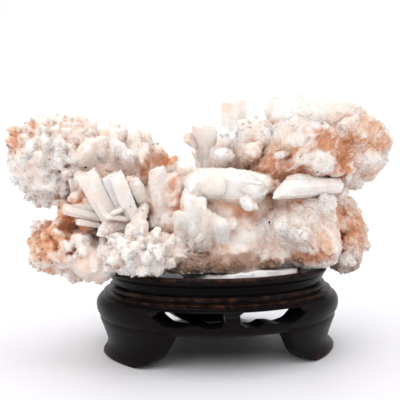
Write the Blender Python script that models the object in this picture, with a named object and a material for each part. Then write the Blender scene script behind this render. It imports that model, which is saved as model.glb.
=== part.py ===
"""Aragonite cluster resting on tissue in the tray of a round lacquered wooden stand.

Metres, +Z up, the floor at Z = 0, the front along -Y. Tables are in millimetres, laid out round the
stand's turning axis; the finished pieces are then moved so that their footprint is centred.
"""
import bpy
import bmesh
import numpy as np
from math import cos, radians, sin, tau
from mathutils import Matrix, Vector

MM = 0.001

# Stand, driving dimensions in millimetres
TURN_STEPS = 38
RIM_R = 53.9
STAND_H = 39.05
BELLY_R = 59.2
APRON_BOTTOM_Z = 15.8
TRAY_FLOOR_Z = 33.4
PLATE_UNDER_Z = 27.6
APRON_IN_R = 48.4
CUT_REACH = (40.0, 68.0)
FIRST_LEG_DEG = -54.0
LEG_COUNT = 3
LEG_PITCH_DEG = 120.0
SLOT_TOP_Z = 26.0
SLOT_LOW_Z = 19.9
SLOT_NEAR_DEG = 3.0
SLOT_FAR_DEG = 33.5

# Tissue, driving dimensions in millimetres
TISSUE_CENTRE = (11.0, -14.0)
TISSUE_R = 26.5
TISSUE_BOTTOM_Z = 34.0
TISSUE_TOP_Z = 38.4
TISSUE_STEPS = 36
TISSUE_RINGS = 4

# Cluster, driving dimensions in millimetres
SLENDER = 6.0
CONTACT_GAP = 0.55
CLUSTER_SHIFT = (0.75, -1.3)
CLUSTER_LEAN_DEG = 0.7
CLEAR_R = 55.0
CLUSTER_TRIANGLES = 6200
EYE_DISTANCE = 300.0
EYE_HEIGHT = 77.2

# Stand outline from the tray's middle out over the rim and down to the belly (radius, height)
STAND_OUTER = [
    (0.0, TRAY_FLOOR_Z), (44.5, TRAY_FLOOR_Z + 0.4), (48.2, 35.2), (49.6, 38.3), (50.5, STAND_H),
    (53.2, STAND_H), (RIM_R, 38.4), (RIM_R, 37.2), (53.0, 35.7), (52.3, 34.3), (50.4, 33.9),
    (50.4, 31.8), (52.7, 31.2), (52.9, 29.4), (54.9, 28.8), (55.7, 28.0), (55.3, 27.3),
    (57.0, 26.5), (58.6, 24.7), (BELLY_R, 22.3), (58.9, 20.0), (57.7, 17.6), (55.9, APRON_BOTTOM_Z),
]
STAND_INNER = [(APRON_IN_R, APRON_BOTTOM_Z), (APRON_IN_R + 0.6, PLATE_UNDER_Z), (0.0, PLATE_UNDER_Z)]

# Leg sections: outer and inner faces by height (height, radius)
LEG_OUTER = [(0.0, 56.2), (0.9, 56.9), (2.2, 56.1), (3.8, 54.2), (5.5, 53.9), (9.0, 55.0), (12.5, 56.3),
             (15.8, 57.6), (18.0, 57.2)]
LEG_INNER = [(0.0, 45.6), (4.0, 46.4), (11.0, 47.8), (18.0, 49.2)]
LEG_TOP_Z = 18.0
LEG_LEVELS = (0.0, 0.05, 0.13, 0.24, 0.5, 0.8, 1.0)

# Lower edge of half a leg, from its middle outwards (degrees, height)
LEG_EDGE = [(0.0, 0.0), (7.0, 0.0), (13.5, 0.0), (15.5, 0.7), (21.5, 2.6), (26.0, 5.6), (29.3, 9.4),
            (32.2, 13.0), (34.8, 16.6)]

# Apron slot, from the bridge outwards (degrees, height)
SLOT_HALF = [
    (SLOT_NEAR_DEG, 25.0), (SLOT_NEAR_DEG, 22.0), (4.8, 20.4), (9.5, SLOT_LOW_Z), (13.5, 21.2),
    (17.5, 21.0), (22.0, SLOT_LOW_Z), (28.0, 20.6), (SLOT_FAR_DEG, 23.6),
    (31.0, SLOT_TOP_Z), (22.0, SLOT_TOP_Z), (13.0, SLOT_TOP_Z), (4.2, SLOT_TOP_Z),
]

# Rounded masses: across, up, depth of the middle, then half sizes across, up and deep
LUMPS = [
    (-80, 91, 0, 17, 15, 18), (-54, 88, 2, 22, 16, 20), (-62, 68, -6, 15, 15, 20),
    (-74, 49, -12, 12, 10, 15), (-44, 60, -12, 20, 22, 26), (-20, 66, -10, 20, 22, 26),
    (8, 66, -8, 26, 22, 28), (2, 94, -4, 13, 15, 14), (42, 98, -8, 26, 20, 22), (62, 99, -4, 20, 18, 20),
    (40, 64, -8, 22, 20, 26), (64, 55, -4, 9, 15, 15), (-30, 46, -22, 26, 10, 22),
    (8, 46, -18, 28, 10, 22), (40, 50, -14, 18, 9, 20),
    (52, 49.5, -30, 9.2, 10.5, 9), (34, 57, -30, 14.5, 11.5, 13), (14, 53, -33, 9, 8, 9),
    (5, 79.5, -33, 17.5, 8.8, 10), (-24, 62, -36, 10, 6, 8), (51, 90.5, -29, 8.5, 6.5, 7),
    (75, 92, -16, 7.5, 6, 9), (63, 41, -8, 8.5, 5.5, 11), (-13, 40, -34, 12, 6.5, 9),
    (6, 41, -33, 15, 7.5, 9), (25, 44, -30, 12, 5, 9), (21, 104, -20, 9, 8, 8),
    (-60, 38, -34, 9, 5, 8), (46, 42, -20, 10, 4.5, 12), (24, 84, -6, 11, 8, 16), (56, 82, -8, 11, 6, 14),
    (59, 69, -6, 6, 7, 10),
]

# Crystals seen from the front: across, up, depth at the root, the same at the tip, width, thickness
UPPER_LEFT_FAN = [
    (-86, 92, -10, -93, 111, -14, 5.5, 7), (-86, 92, -12, -98, 110, -20, 7, 8),
    (-86, 92, -8, -103, 107.5, -12, 5.5, 7), (-86, 91, -12, -105.5, 102.5, -18, 5.5, 7),
    (-86, 90, -8, -103.5, 97.5, -12, 5, 6), (-84, 90, -8, -104.5, 93.5, -12, 4.5, 6),
    (-84, 88, -10, -105, 89.3, -14, 4.5, 6), (-84, 86, -8, -103, 82.5, -14, 5.5, 7),
    (-82, 84, -8, -99, 77.5, -14, 5, 6), (-80, 84, -8, -95, 73.2, -12, 5.5, 7),
    (-79, 84, -6, -91, 69.3, -10, 5.5, 7), (-77, 84, -6, -86, 69.6, -12, 5.5, 7),
    (-76, 84, -6, -81.5, 70.3, -12, 5.5, 7), (-84, 92, -12, -88.5, 113.5, -16, 6.5, 8),
    (-80, 94, -14, -81, 113.6, -22, 8, 8), (-75, 92, -12, -73.5, 114, -16, 8, 8),
    (-70, 92, -8, -67, 114, -12, 6.5, 8), (-65, 90, -8, -62, 111.7, -12, 5, 7),
    (-86, 92, -10, -94, 101, -27, 7, 6), (-84, 93, -10, -87, 103, -28, 7, 6),
    (-80, 92, -10, -79, 101, -28, 7, 6), (-76, 92, -10, -72, 103, -24, 6.5, 6),
    (-86, 90, -10, -97, 93, -25, 6.5, 6), (-84, 90, -10, -90, 94, -30, 6.5, 6),
    (-84, 88, -10, -95, 85, -25, 6.5, 6), (-82, 88, -10, -88, 86, -29, 6.5, 6),
    (-82, 86, -10, -90, 78, -24, 6.5, 6), (-79, 86, -10, -83, 78, -26, 6.5, 6),
    (-78, 89, -10, -80, 91, -30, 6, 6), (-76, 88, -10, -75, 84, -28, 6.5, 6),
    (-74, 90, -10, -73, 93, -27, 6, 6), (-76, 86, -10, -77, 76, -22, 6, 6),
]
TOP_LEFT_BLADES = [
    (-66, 84, -16, -66, 99.5, -28, 8.5, 9), (-57, 86, -18, -58.4, 103.8, -28, 5.5, 8),
    (-53, 86, -14, -54.5, 108.5, -22, 10, 9), (-48, 86, -12, -51, 110.7, -15, 5.5, 8),
    (-42, 84, -16, -42, 106.8, -22, 7, 9), (-38, 84, -12, -36, 106.2, -17, 7, 9),
    (-36, 86, -10, -31.5, 100.2, -14, 6, 8), (-32, 86, -10, -26.5, 96.8, -15, 9, 9),
    (-28, 84, -12, -20.5, 92.6, -16, 6, 7), (-50, 84, -14, -48.5, 101, -28, 6.5, 7),
    (-44, 84, -16, -45, 96, -28, 7, 6), (-36, 84, -14, -37.5, 97, -24, 7, 7),
]
MIDDLE_LEFT_PRISMS = [
    (-56.5, 63, -24, -65, 85.5, -38, 8.5, 8), (-49, 66, -24, -56, 83.6, -34, 6, 7),
    (-42.5, 67, -24, -49.8, 84.5, -34, 6.5, 7), (-38.5, 66, -24, -43, 82.5, -32, 7.5, 8),
    (-53, 68, -26, -73.8, 67.6, -34, 5.2, 6), (-58, 71, -18, -73.5, 73.5, -30, 6.5, 7),
    (-64, 66, -16, -70.3, 85.5, -27, 6.5, 8), (-66, 66, -10, -79.8, 71.2, -20, 5, 7),
    (-66, 63, -10, -79.2, 65.8, -22, 5, 7), (-66, 61, -12, -80.2, 61.3, -22, 5, 7),
    (-57, 62, -24, -68.5, 62.8, -32, 3.8, 5), (-58, 59, -24, -67.5, 58.6, -32, 4.5, 6),
    (-43, 61, -28, -58, 57, -40, 8.5, 8), (-42, 69.6, -30, -53, 65, -43, 2.8, 4),
    (-36, 69, -32, -42, 52, -44, 6.5, 7),
]
LOWER_LEFT_FAN = [
    (-76, 52, -12, -87.5, 61.3, -20, 5.5, 7), (-76, 52, -12, -91.7, 60, -20, 5, 7),
    (-76, 50, -12, -93.2, 56.2, -22, 5.5, 7), (-76, 48, -14, -93.7, 50.5, -26, 5.5, 7),
    (-75, 47, -14, -94, 45.4, -24, 6, 7), (-75, 45, -14, -89.8, 39.6, -22, 5.5, 7),
    (-73, 45, -14, -84, 36.8, -22, 5, 7), (-74, 50, -14, -86.5, 55, -32, 6.5, 6),
    (-74, 48, -14, -86, 48, -34, 6.5, 6), (-74, 46, -14, -82, 43.5, -36, 6.5, 6),
    (-72, 52, -14, -79.5, 54, -36, 7, 6), (-72, 49, -16, -77, 48.5, -40, 7, 6),
    (-70, 46, -16, -75, 40, -36, 7, 7), (-66, 46, -16, -77.5, 34.4, -26, 6.5, 7),
    (-64, 44, -18, -71.5, 32.2, -28, 8, 8), (-56, 42, -22, -65.5, 33.4, -34, 7.5, 7),
    (-58, 50, -24, -63, 38.5, -42, 9.5, 8), (-50, 42, -26, -58, 33, -38, 7, 7),
    (-66, 54, -16, -70.5, 52, -40, 7, 7), (-62, 52, -20, -67.5, 46, -42, 6, 6),
]
LOWER_WHITE_FAN = [
    (-32, 46, -30, -52.5, 53, -50, 8, 8), (-32, 45, -30, -56.5, 45, -50, 8.5, 8),
    (-30, 42, -30, -56.5, 38.5, -50, 7.5, 7), (-28, 42, -32, -46, 36.6, -52, 8, 7),
    (-26, 42, -34, -34, 36.8, -52, 8, 7), (-31, 42, -34, -30.2, 56.8, -50, 4.8, 6),
    (-36, 46, -34, -37.6, 62, -48, 6.2, 7), (-40, 44, -34, -44.6, 58, -48, 5, 6),
    (-24, 44, -34, -24, 51.5, -50, 7, 7), (-20, 42, -34, -19, 46, -48, 7.5, 6),
    (-34, 46, -34, -40, 47, -56, 8, 7), (-27, 44, -34, -28, 44, -54, 7.5, 7),
]
CENTRE_COLUMNS = [
    (-29, 64, -30, -30, 87.8, -38, 9.8, 9), (-35, 66, -26, -42, 80.5, -36, 7, 8),
    (-18, 46, -34, -18.5, 66, -44, 6.5, 7), (-13.5, 44, -34, -13, 74, -44, 6, 7),
    (-9, 45, -34, -8.6, 72, -43, 5.2, 7), (-4.6, 47, -32, -5.2, 66, -42, 5.5, 7),
    (1.5, 47, -30, 1.8, 63, -41, 8.5, 8), (-9, 84, -28, -16.5, 67, -40, 9, 9),
    (-8, 84, -22, -19.5, 88.4, -32, 7, 8), (-7, 82, -26, -14.5, 80, -38, 9, 8),
    (13.5, 78, -32, 14.6, 68.2, -44, 6.5, 6), (8, 60, -26, 6.5, 60.5, -40, 7, 6),
    (-22, 70, -24, -24, 76, -34, 7, 8),
]
TOWERS = [
    (8, 96, -6, 8, 122, -9, 14.5, 10), (0, 90, -10, 1.5, 106, -13, 7, 7), (13, 100, -8, 18.8, 115, -10, 5.5, 7),
    (-3.5, 88, -8, -7.2, 110, -16, 12.5, 10), (-9, 90, -14, -12.4, 97, -20, 2.8, 4),
    (-7, 97, -10, -15.6, 103.4, -16, 6, 7), (10, 88, -12, 15.5, 111.2, -27, 13, 10),
    (3, 88, -10, 4, 105.5, -24, 9, 8), (24, 92, -10, 24.5, 109.5, -26, 11, 9),
    (3, 86, -12, 3.5, 96, -29, 10, 8), (17, 90, -12, 17, 98, -32, 9, 8),
]
UPPER_RIGHT_LOBE = [
    (50, 112, -8, 27.5, 122, -13, 7, 8), (48, 108, -10, 24.5, 116.6, -18, 6.5, 8),
    (46, 100, -8, 46, 124.4, -12, 20, 16), (56, 102, -8, 60, 122.6, -12, 14, 14),
    (62, 98, -6, 69.5, 119, -12, 11, 12), (62, 96, -6, 76.5, 114.4, -12, 11, 12),
    (64, 96, -6, 83, 108, -12, 10, 12), (64, 96, -6, 87.6, 100.5, -12, 9, 12),
    (64, 94, -6, 84.6, 93, -12, 8, 11), (62, 90, -6, 79.5, 84, -12, 8.5, 12),
    (58, 90, -8, 71, 78.6, -14, 9, 12), (52, 102, -14, 36.5, 111.5, -31, 11, 9),
    (62, 98, -14, 66.5, 113, -30, 9.5, 9), (56, 96, -16, 34.5, 101.2, -34, 7, 8),
    (40, 97, -20, 28.4, 93.6, -40, 5.6, 5), (60, 96, -12, 73.5, 105, -28, 9, 9),
    (46, 104, -14, 47, 117, -29, 12, 9), (44, 96, -16, 42, 93, -35, 8, 7),
    (56, 92, -14, 58.5, 86, -30, 8, 8), (60, 92, -12, 67.5, 86.5, -27, 8, 8),
    (56, 98, -12, 55, 104, -27, 9, 8), (44, 88, -14, 35, 87, -33, 8, 8),
    (28, 92, -12, 24, 88, -30, 9, 8),
]
RIGHT_MIDDLE = [
    (58, 78.5, -24, 32.5, 78, -42, 9.6, 9), (50, 56, -22, 45.8, 71.8, -32, 6, 7),
    (54, 58, -22, 52.6, 75, -34, 7, 8), (57, 60, -20, 57, 74.5, -32, 5.5, 7),
    (58, 72, -14, 63.5, 77, -24, 7, 8), (36, 60, -28, 31, 60, -45, 9, 7),
    (28, 80, -18, 27.5, 79.5, -34, 8, 7), (40, 56, -26, 42, 53.5, -42, 8, 7),
]
LOWER_RIGHT_LOBE = [
    (62, 56, -4, 65.5, 73.6, -8, 8.5, 11), (63, 56, -4, 71, 66.6, -8, 8, 11),
    (63, 55, -4, 75.2, 58.6, -8, 8, 11), (63, 52, -4, 75, 50, -8, 8, 11),
    (62, 50, -4, 72, 42.6, -8, 7.5, 11), (62, 56, -8, 64.5, 62, -22, 8.5, 8),
    (62, 50, -8, 66.5, 50.5, -22, 8.5, 8), (61, 46, -8, 63.5, 42, -22, 8, 8),
]

# Fans that nobody sees from the front: middle (real millimetres), reach, facing, count, widths
BACK_FANS = [
    ((-80, 0, 90), (23, 27, 21), (-0.35, 1.0, 0.15), 12, (8, 11)),
    ((-50, 2, 88), (22, 29, 19), (0.1, 1.0, 0.5), 12, (8, 12)),
    ((-48, 0, 60), (26, 32, 20), (-0.1, 1.0, -0.1), 11, (9, 13)),
    ((-2, 2, 62), (28, 36, 21), (0.0, 1.0, 0.15), 12, (10, 14)),
    ((4, -2, 92), (17, 24, 18), (0.0, 1.0, 0.5), 7, (9, 12)),
    ((52, -2, 98), (33, 32, 24), (0.3, 1.0, 0.35), 17, (10, 15)),
    ((46, 0, 60), (25, 31, 19), (0.4, 1.0, -0.1), 11, (9, 13)),
    ((-74, -8, 50), (17, 21, 12), (-0.6, 1.0, -0.3), 9, (7, 10)),
]


def material(name, colour, roughness, metallic=0.0):
    """Plain Principled material."""
    mat = bpy.data.materials.new(name)
    mat.use_nodes = True
    shader = mat.node_tree.nodes["Principled BSDF"]
    shader.inputs["Base Color"].default_value = (*colour, 1.0)
    shader.inputs["Roughness"].default_value = roughness
    shader.inputs["Metallic"].default_value = metallic
    return mat


def new_object(name, bm):
    """Object from a bmesh, faces turned outward."""
    bmesh.ops.recalc_face_normals(bm, faces=bm.faces)
    mesh = bpy.data.meshes.new(name)
    bm.to_mesh(mesh)
    bm.free()
    obj = bpy.data.objects.new(name, mesh)
    bpy.context.scene.collection.objects.link(obj)
    return obj


def apply_boolean(target, tool, operation):
    """Boolean of one object with another, which is then removed."""
    tool.display_type = "WIRE"
    tool.hide_render = True
    mod = target.modifiers.new("cut", "BOOLEAN")
    mod.operation = operation
    mod.solver = "EXACT"
    mod.object = tool
    depsgraph = bpy.context.evaluated_depsgraph_get()
    mesh = bpy.data.meshes.new_from_object(target.evaluated_get(depsgraph))
    target.modifiers.remove(mod)
    old = target.data
    target.data = mesh
    bpy.data.meshes.remove(old)
    bpy.data.objects.remove(tool, do_unlink=True)


def turned(name, profile, steps, closed=True):
    """Solid of revolution; points on the axis become poles."""
    bm = bmesh.new()
    rings = []
    for radius, height in profile:
        if radius == 0.0:
            rings.append([bm.verts.new((0.0, 0.0, height * MM))])
            continue
        angles = [tau * (i + 0.5) / steps for i in range(steps)]
        rings.append([bm.verts.new((radius * MM * cos(a), radius * MM * sin(a), height * MM)) for a in angles])
    pairs = list(zip(rings, rings[1:]))
    if closed:
        pairs.append((rings[-1], rings[0]))
    for low, high in pairs:
        for i in range(steps):
            j = (i + 1) % steps
            corners = [low[i % len(low)], low[j % len(low)], high[j % len(high)], high[i % len(high)]]
            unique = list(dict.fromkeys(corners))
            if len(unique) > 2:
                bm.faces.new(unique)
    return new_object(name, bm)


def bearing(radius, degrees, height):
    """Point at a bearing measured from the front, counter-clockwise seen from above."""
    a = radians(degrees)
    return Vector((radius * sin(a), -radius * cos(a), height)) * MM


def radial_cutter(name, outline, centre_deg):
    """Cutter with an outline in (degrees, height), pushed out from the axis, its ends fanned."""
    bm = bmesh.new()
    rings = [[bm.verts.new(bearing(radius, centre_deg + a, z)) for a, z in outline] for radius in CUT_REACH]
    middle_deg = centre_deg + sum(a for a, _ in outline) / len(outline)
    middle_z = sum(z for _, z in outline) / len(outline)
    hubs = [bm.verts.new(bearing(radius, middle_deg, middle_z)) for radius in CUT_REACH]
    n = len(outline)
    for i in range(n):
        j = (i + 1) % n
        bm.faces.new((rings[0][i], rings[0][j], rings[1][j], rings[1][i]))
        for ring, hub in zip(rings, hubs):
            bm.faces.new((hub, ring[i], ring[j]))
    return new_object(name, bm)


def leg(centre_deg):
    """One leg, lofted through upright sections round the axis, its lower edge swept up at both sides."""
    bm = bmesh.new()
    outer_z, outer_r = zip(*LEG_OUTER)
    inner_z, inner_r = zip(*LEG_INNER)
    edge = [(-a, z) for a, z in reversed(LEG_EDGE[1:])] + LEG_EDGE
    sections = []
    for offset, low in edge:
        heights = [low + t * (LEG_TOP_Z - low) for t in LEG_LEVELS]
        ring = [bearing(float(np.interp(z, outer_z, outer_r)), centre_deg + offset, z) for z in heights]
        ring += [bearing(float(np.interp(z, inner_z, inner_r)), centre_deg + offset, z)
                 for z in (heights[-1], heights[4], heights[0])]
        sections.append([bm.verts.new(p) for p in ring])
    n = len(sections[0])
    for near, far in zip(sections, sections[1:]):
        for i in range(n):
            j = (i + 1) % n
            bm.faces.new((near[i], near[j], far[j], far[i]))
    bm.faces.new(sections[0])
    bm.faces.new(sections[-1])
    return new_object("leg", bm)


def build_stand():
    """Turned tray, waist and belly, the legs, and the pierced apron between them."""
    stand = turned("stand", STAND_OUTER + STAND_INNER, TURN_STEPS, closed=False)
    mirrored = [(-a, z) for a, z in reversed(SLOT_HALF)]
    for i in range(LEG_COUNT):
        centre = FIRST_LEG_DEG + LEG_PITCH_DEG * i
        apply_boolean(stand, leg(centre), "UNION")
    for i in range(LEG_COUNT):
        centre = FIRST_LEG_DEG + LEG_PITCH_DEG * (i + 0.5)
        for outline in (SLOT_HALF, mirrored):
            apply_boolean(stand, radial_cutter("slot", outline, centre), "DIFFERENCE")
    stand.data.materials.clear()
    stand.data.materials.append(material("black_lacquered_wood", (0.012, 0.009, 0.011), 0.28))
    return stand


def tissue_top(angle, reach):
    """Height of the tissue's upper face: slack folds, higher at the front right edge."""
    folds = 0.55 * sin(9.0 * angle + 5.0 * reach) + 0.35 * sin(17.0 * angle - 3.0 * reach)
    front = max(0.0, cos(angle - radians(-62.0))) ** 2
    lifted = 2.3 * front * max(0.0, reach - 0.55) / 0.45
    return TISSUE_TOP_Z + folds * max(0.0, reach - 0.5) + lifted


def tissue_slab(name, grown=0.0):
    """Crumpled pad: a closed slab with a wavy edge and a folded upper face, or the same grown evenly."""
    bm = bmesh.new()
    cx, cy = TISSUE_CENTRE
    top, bottom = [], []
    for k in range(1, TISSUE_RINGS + 1):
        reach = k / TISSUE_RINGS
        upper, lower = [], []
        for i in range(TISSUE_STEPS):
            a = tau * i / TISSUE_STEPS
            radius = TISSUE_R * reach * (1.0 + reach * (0.035 * sin(7 * a) + 0.025 * sin(11 * a + 1.0)))
            radius += 2.0 * grown * reach
            x, y = cx + 1.06 * radius * cos(a), cy + radius * sin(a)
            upper.append(bm.verts.new((x * MM, y * MM, (tissue_top(a, reach) + grown) * MM)))
            if k == TISSUE_RINGS:
                lower.append(bm.verts.new((x * MM, y * MM, (TISSUE_BOTTOM_Z + 0.9) * MM)))
        top.append(upper)
        if lower:
            bottom = lower
    crown = bm.verts.new((cx * MM, cy * MM, (TISSUE_TOP_Z + grown) * MM))
    under = bm.verts.new((cx * MM, cy * MM, TISSUE_BOTTOM_Z * MM))
    for i in range(TISSUE_STEPS):
        j = (i + 1) % TISSUE_STEPS
        bm.faces.new((crown, top[0][i], top[0][j]))
        for inner, outer in zip(top, top[1:]):
            bm.faces.new((inner[i], outer[i], outer[j]))
            bm.faces.new((inner[i], outer[j], inner[j]))
        bm.faces.new((top[-1][i], bottom[i], bottom[j], top[-1][j]))
        bm.faces.new((under, bottom[j], bottom[i]))
    return new_object(name, bm)


def build_tissue():
    """The padding laid in the tray."""
    tissue = tissue_slab("tissue")
    tissue.data.materials.append(material("white_tissue", (0.86, 0.86, 0.87), 0.9))
    return tissue


def placed(across, up, depth):
    """Real position of a point laid out against the stand's axis plane, then pushed to its depth."""
    k = (EYE_DISTANCE + depth) / EYE_DISTANCE
    x = (across + CLUSTER_SHIFT[0]) * k
    z = EYE_HEIGHT + (up + CLUSTER_SHIFT[1] - EYE_HEIGHT) * k
    return Vector((x, depth, z))


def add_hull(solids, points):
    """Convex solid round a set of points, as one more object in the list."""
    part = bmesh.new()
    for p in points:
        part.verts.new(p * MM)
    result = bmesh.ops.convex_hull(part, input=part.verts)
    spare = [g for g in result["geom_interior"] if isinstance(g, bmesh.types.BMVert)]
    bmesh.ops.delete(part, geom=spare, context="VERTS")
    bmesh.ops.dissolve_limit(part, angle_limit=radians(1.0), verts=part.verts, edges=part.edges)
    bmesh.ops.triangulate(part, faces=part.faces)
    solids.append(new_object("solid", part))


def fused(solids):
    """Union of all solids, taken in neighbouring pairs until one is left."""
    while len(solids) > 1:
        pairs = list(zip(solids[0::2], solids[1::2]))
        spare = solids[2 * len(pairs):]
        for first, second in pairs:
            apply_boolean(first, second, "UNION")
        solids = [first for first, _ in pairs] + spare
    return solids[0]


def add_crystal(solids, rng, root, tip, width, thick):
    """Blunt crystal: rough polygon section, slight flare, then a sloping flat end."""
    axis = tip - root
    length = axis.length
    along = axis / length
    side = along.cross(Vector((0.0, 1.0, 0.0)))
    if side.length < 0.35:
        side = along.cross(Vector((0.3, 0.0, 1.0)))
    side.normalize()
    front = side.cross(along)
    sides = 6 if width > SLENDER else 5
    spin = rng.uniform(-0.35, 0.35) + (0.0 if sides == 6 else tau / 4)
    slope = Vector((rng.uniform(-0.32, 0.32), rng.uniform(-0.32, 0.32), 0.0))
    chamfer = min(0.34 * width, 0.3 * length)
    points = []
    swell = [rng.uniform(0.88, 1.08) for _ in range(sides)]
    levels = [(0.0, 0.78), (length - chamfer, 1.0), (length, rng.uniform(0.56, 0.72))]
    if width <= SLENDER:
        levels = [(0.0, 1.0), (length, rng.uniform(0.72, 0.86))]
    for level, scale in levels:
        for i in range(sides):
            a = spin + tau * i / sides
            u = 0.5 * width * scale * swell[i] * cos(a)
            v = 0.5 * thick * scale * swell[i] * sin(a)
            lift = (slope.x * u + slope.y * v) if level > 0.0 else 0.0
            points.append(root + along * (level + lift) + side * u + front * v)
    add_hull(solids, points)


def add_lump(solids, rng, centre, half, count=26):
    """Rounded mass with flat facets, from points spread evenly over an ellipsoid."""
    golden = tau * 0.381966
    points = []
    for i in range(count):
        z = 1.0 - 2.0 * (i + 0.5) / count
        a = golden * i + rng.uniform(-0.25, 0.25)
        r = (1.0 - z * z) ** 0.5
        k = rng.uniform(0.8, 1.04)
        points.append(centre + Vector((half[0] * r * cos(a), half[2] * r * sin(a), half[1] * z)) * k)
    add_hull(solids, points)


def add_back_fan(solids, rng, centre, reach, facing, count, widths):
    """Crystals radiating over the half of an ellipsoid that faces a given way."""
    centre, facing = Vector(centre), Vector(facing).normalized()
    golden = tau * 0.381966
    turn = facing.to_track_quat("Z", "Y")
    for i in range(count):
        z = 1.0 - 0.82 * (i + 0.5) / count
        a = golden * i + rng.uniform(-0.2, 0.2)
        r = (1.0 - z * z) ** 0.5
        way = turn @ Vector((r * cos(a), r * sin(a), z))
        end = Vector((reach[0] * way.x, reach[1] * way.y, reach[2] * way.z)) * rng.uniform(0.88, 1.0)
        width = rng.uniform(*widths)
        add_crystal(solids, rng, centre + end * 0.35, centre + end, width, width * 0.9)


def keep_largest(obj):
    """Drop every shell but the outer one, so no pocket stays sealed inside."""
    bm = bmesh.new()
    bm.from_mesh(obj.data)
    bm.verts.ensure_lookup_table()
    group = {}
    best = []
    for seed in bm.verts:
        if seed in group:
            continue
        shell, todo = [], [seed]
        group[seed] = True
        while todo:
            v = todo.pop()
            shell.append(v)
            for e in v.link_edges:
                w = e.other_vert(v)
                if w not in group:
                    group[w] = True
                    todo.append(w)
        if len(shell) > len(best):
            best = shell
    keep = set(best)
    bmesh.ops.delete(bm, geom=[v for v in bm.verts if v not in keep], context="VERTS")
    bm.to_mesh(obj.data)
    bm.free()


def thin_out(obj, triangles):
    """Collapse the shortest slivers that fusing leaves, down to a triangle count."""
    bm = bmesh.new()
    bm.from_mesh(obj.data)
    bmesh.ops.remove_doubles(bm, verts=bm.verts, dist=0.000002)
    bmesh.ops.triangulate(bm, faces=bm.faces)
    count = len(bm.faces)
    bm.to_mesh(obj.data)
    bm.free()
    mod = obj.modifiers.new("thin", "DECIMATE")
    mod.ratio = min(1.0, triangles / count)
    depsgraph = bpy.context.evaluated_depsgraph_get()
    mesh = bpy.data.meshes.new_from_object(obj.evaluated_get(depsgraph))
    obj.modifiers.remove(mod)
    obj.data = mesh


def stand_clearance(gap):
    """Room kept free of crystals over the stand's rim and beside it."""
    top, side = STAND_H + gap, CLEAR_R + gap
    return turned("clearance", [(0.0, top), (side, top), (side, 5.0), (0.0, 5.0)], TURN_STEPS, closed=False)


def build_cluster():
    """All crystals and masses fused, trimmed where they meet the stand and the tissue."""
    rng = np.random.default_rng(7)
    solids = []
    for across, up, depth, hx, hz, hy in LUMPS:
        add_lump(solids, rng, placed(across, up, depth), (hx, hz, hy))
    groups = (UPPER_LEFT_FAN, TOP_LEFT_BLADES, MIDDLE_LEFT_PRISMS, LOWER_LEFT_FAN, LOWER_WHITE_FAN,
              CENTRE_COLUMNS, TOWERS, UPPER_RIGHT_LOBE, RIGHT_MIDDLE, LOWER_RIGHT_LOBE)
    for table in groups:
        for a0, u0, d0, a1, u1, d1, width, thick in table:
            add_crystal(solids, rng, placed(a0, u0, d0), placed(a1, u1, d1), width, thick)
    for centre, reach, facing, count, widths in BACK_FANS:
        add_back_fan(solids, rng, centre, reach, facing, count, widths)
    cluster = fused(solids)
    cluster.name = "aragonite_cluster"
    pivot = Vector((0.0, 0.0, EYE_HEIGHT * MM))
    lean = Matrix.Translation(pivot) @ Matrix.Rotation(radians(CLUSTER_LEAN_DEG), 4, "Y") @ \
        Matrix.Translation(-pivot)
    cluster.data.transform(lean)
    apply_boolean(cluster, stand_clearance(CONTACT_GAP), "DIFFERENCE")
    apply_boolean(cluster, tissue_slab("tissue_room", CONTACT_GAP), "DIFFERENCE")
    keep_largest(cluster)
    thin_out(cluster, CLUSTER_TRIANGLES)
    keep_largest(cluster)
    cluster.data.materials.clear()
    cluster.data.materials.append(material("aragonite", (0.86, 0.72, 0.62), 0.35))
    return cluster


def centre_on_origin(objects):
    """Move all pieces together so that the middle of their common footprint is the origin."""
    corners = np.array([v.co[:] for obj in objects for v in obj.data.vertices])
    middle = 0.5 * (corners.min(axis=0) + corners.max(axis=0))
    for obj in objects:
        obj.data.transform(Matrix.Translation((-middle[0], -middle[1], 0.0)))
    return middle


def main():
    """Clear the file, build the three pieces and centre them."""
    for obj in list(bpy.data.objects):
        bpy.data.objects.remove(obj, do_unlink=True)
    pieces = [build_stand(), build_tissue(), build_cluster()]
    return centre_on_origin(pieces)


main()
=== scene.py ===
"""Aragonite cluster on its lacquered stand: looks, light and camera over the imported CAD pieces."""

import logging
from dataclasses import dataclass
from enum import Enum
from itertools import product
from math import radians, tau

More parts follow.
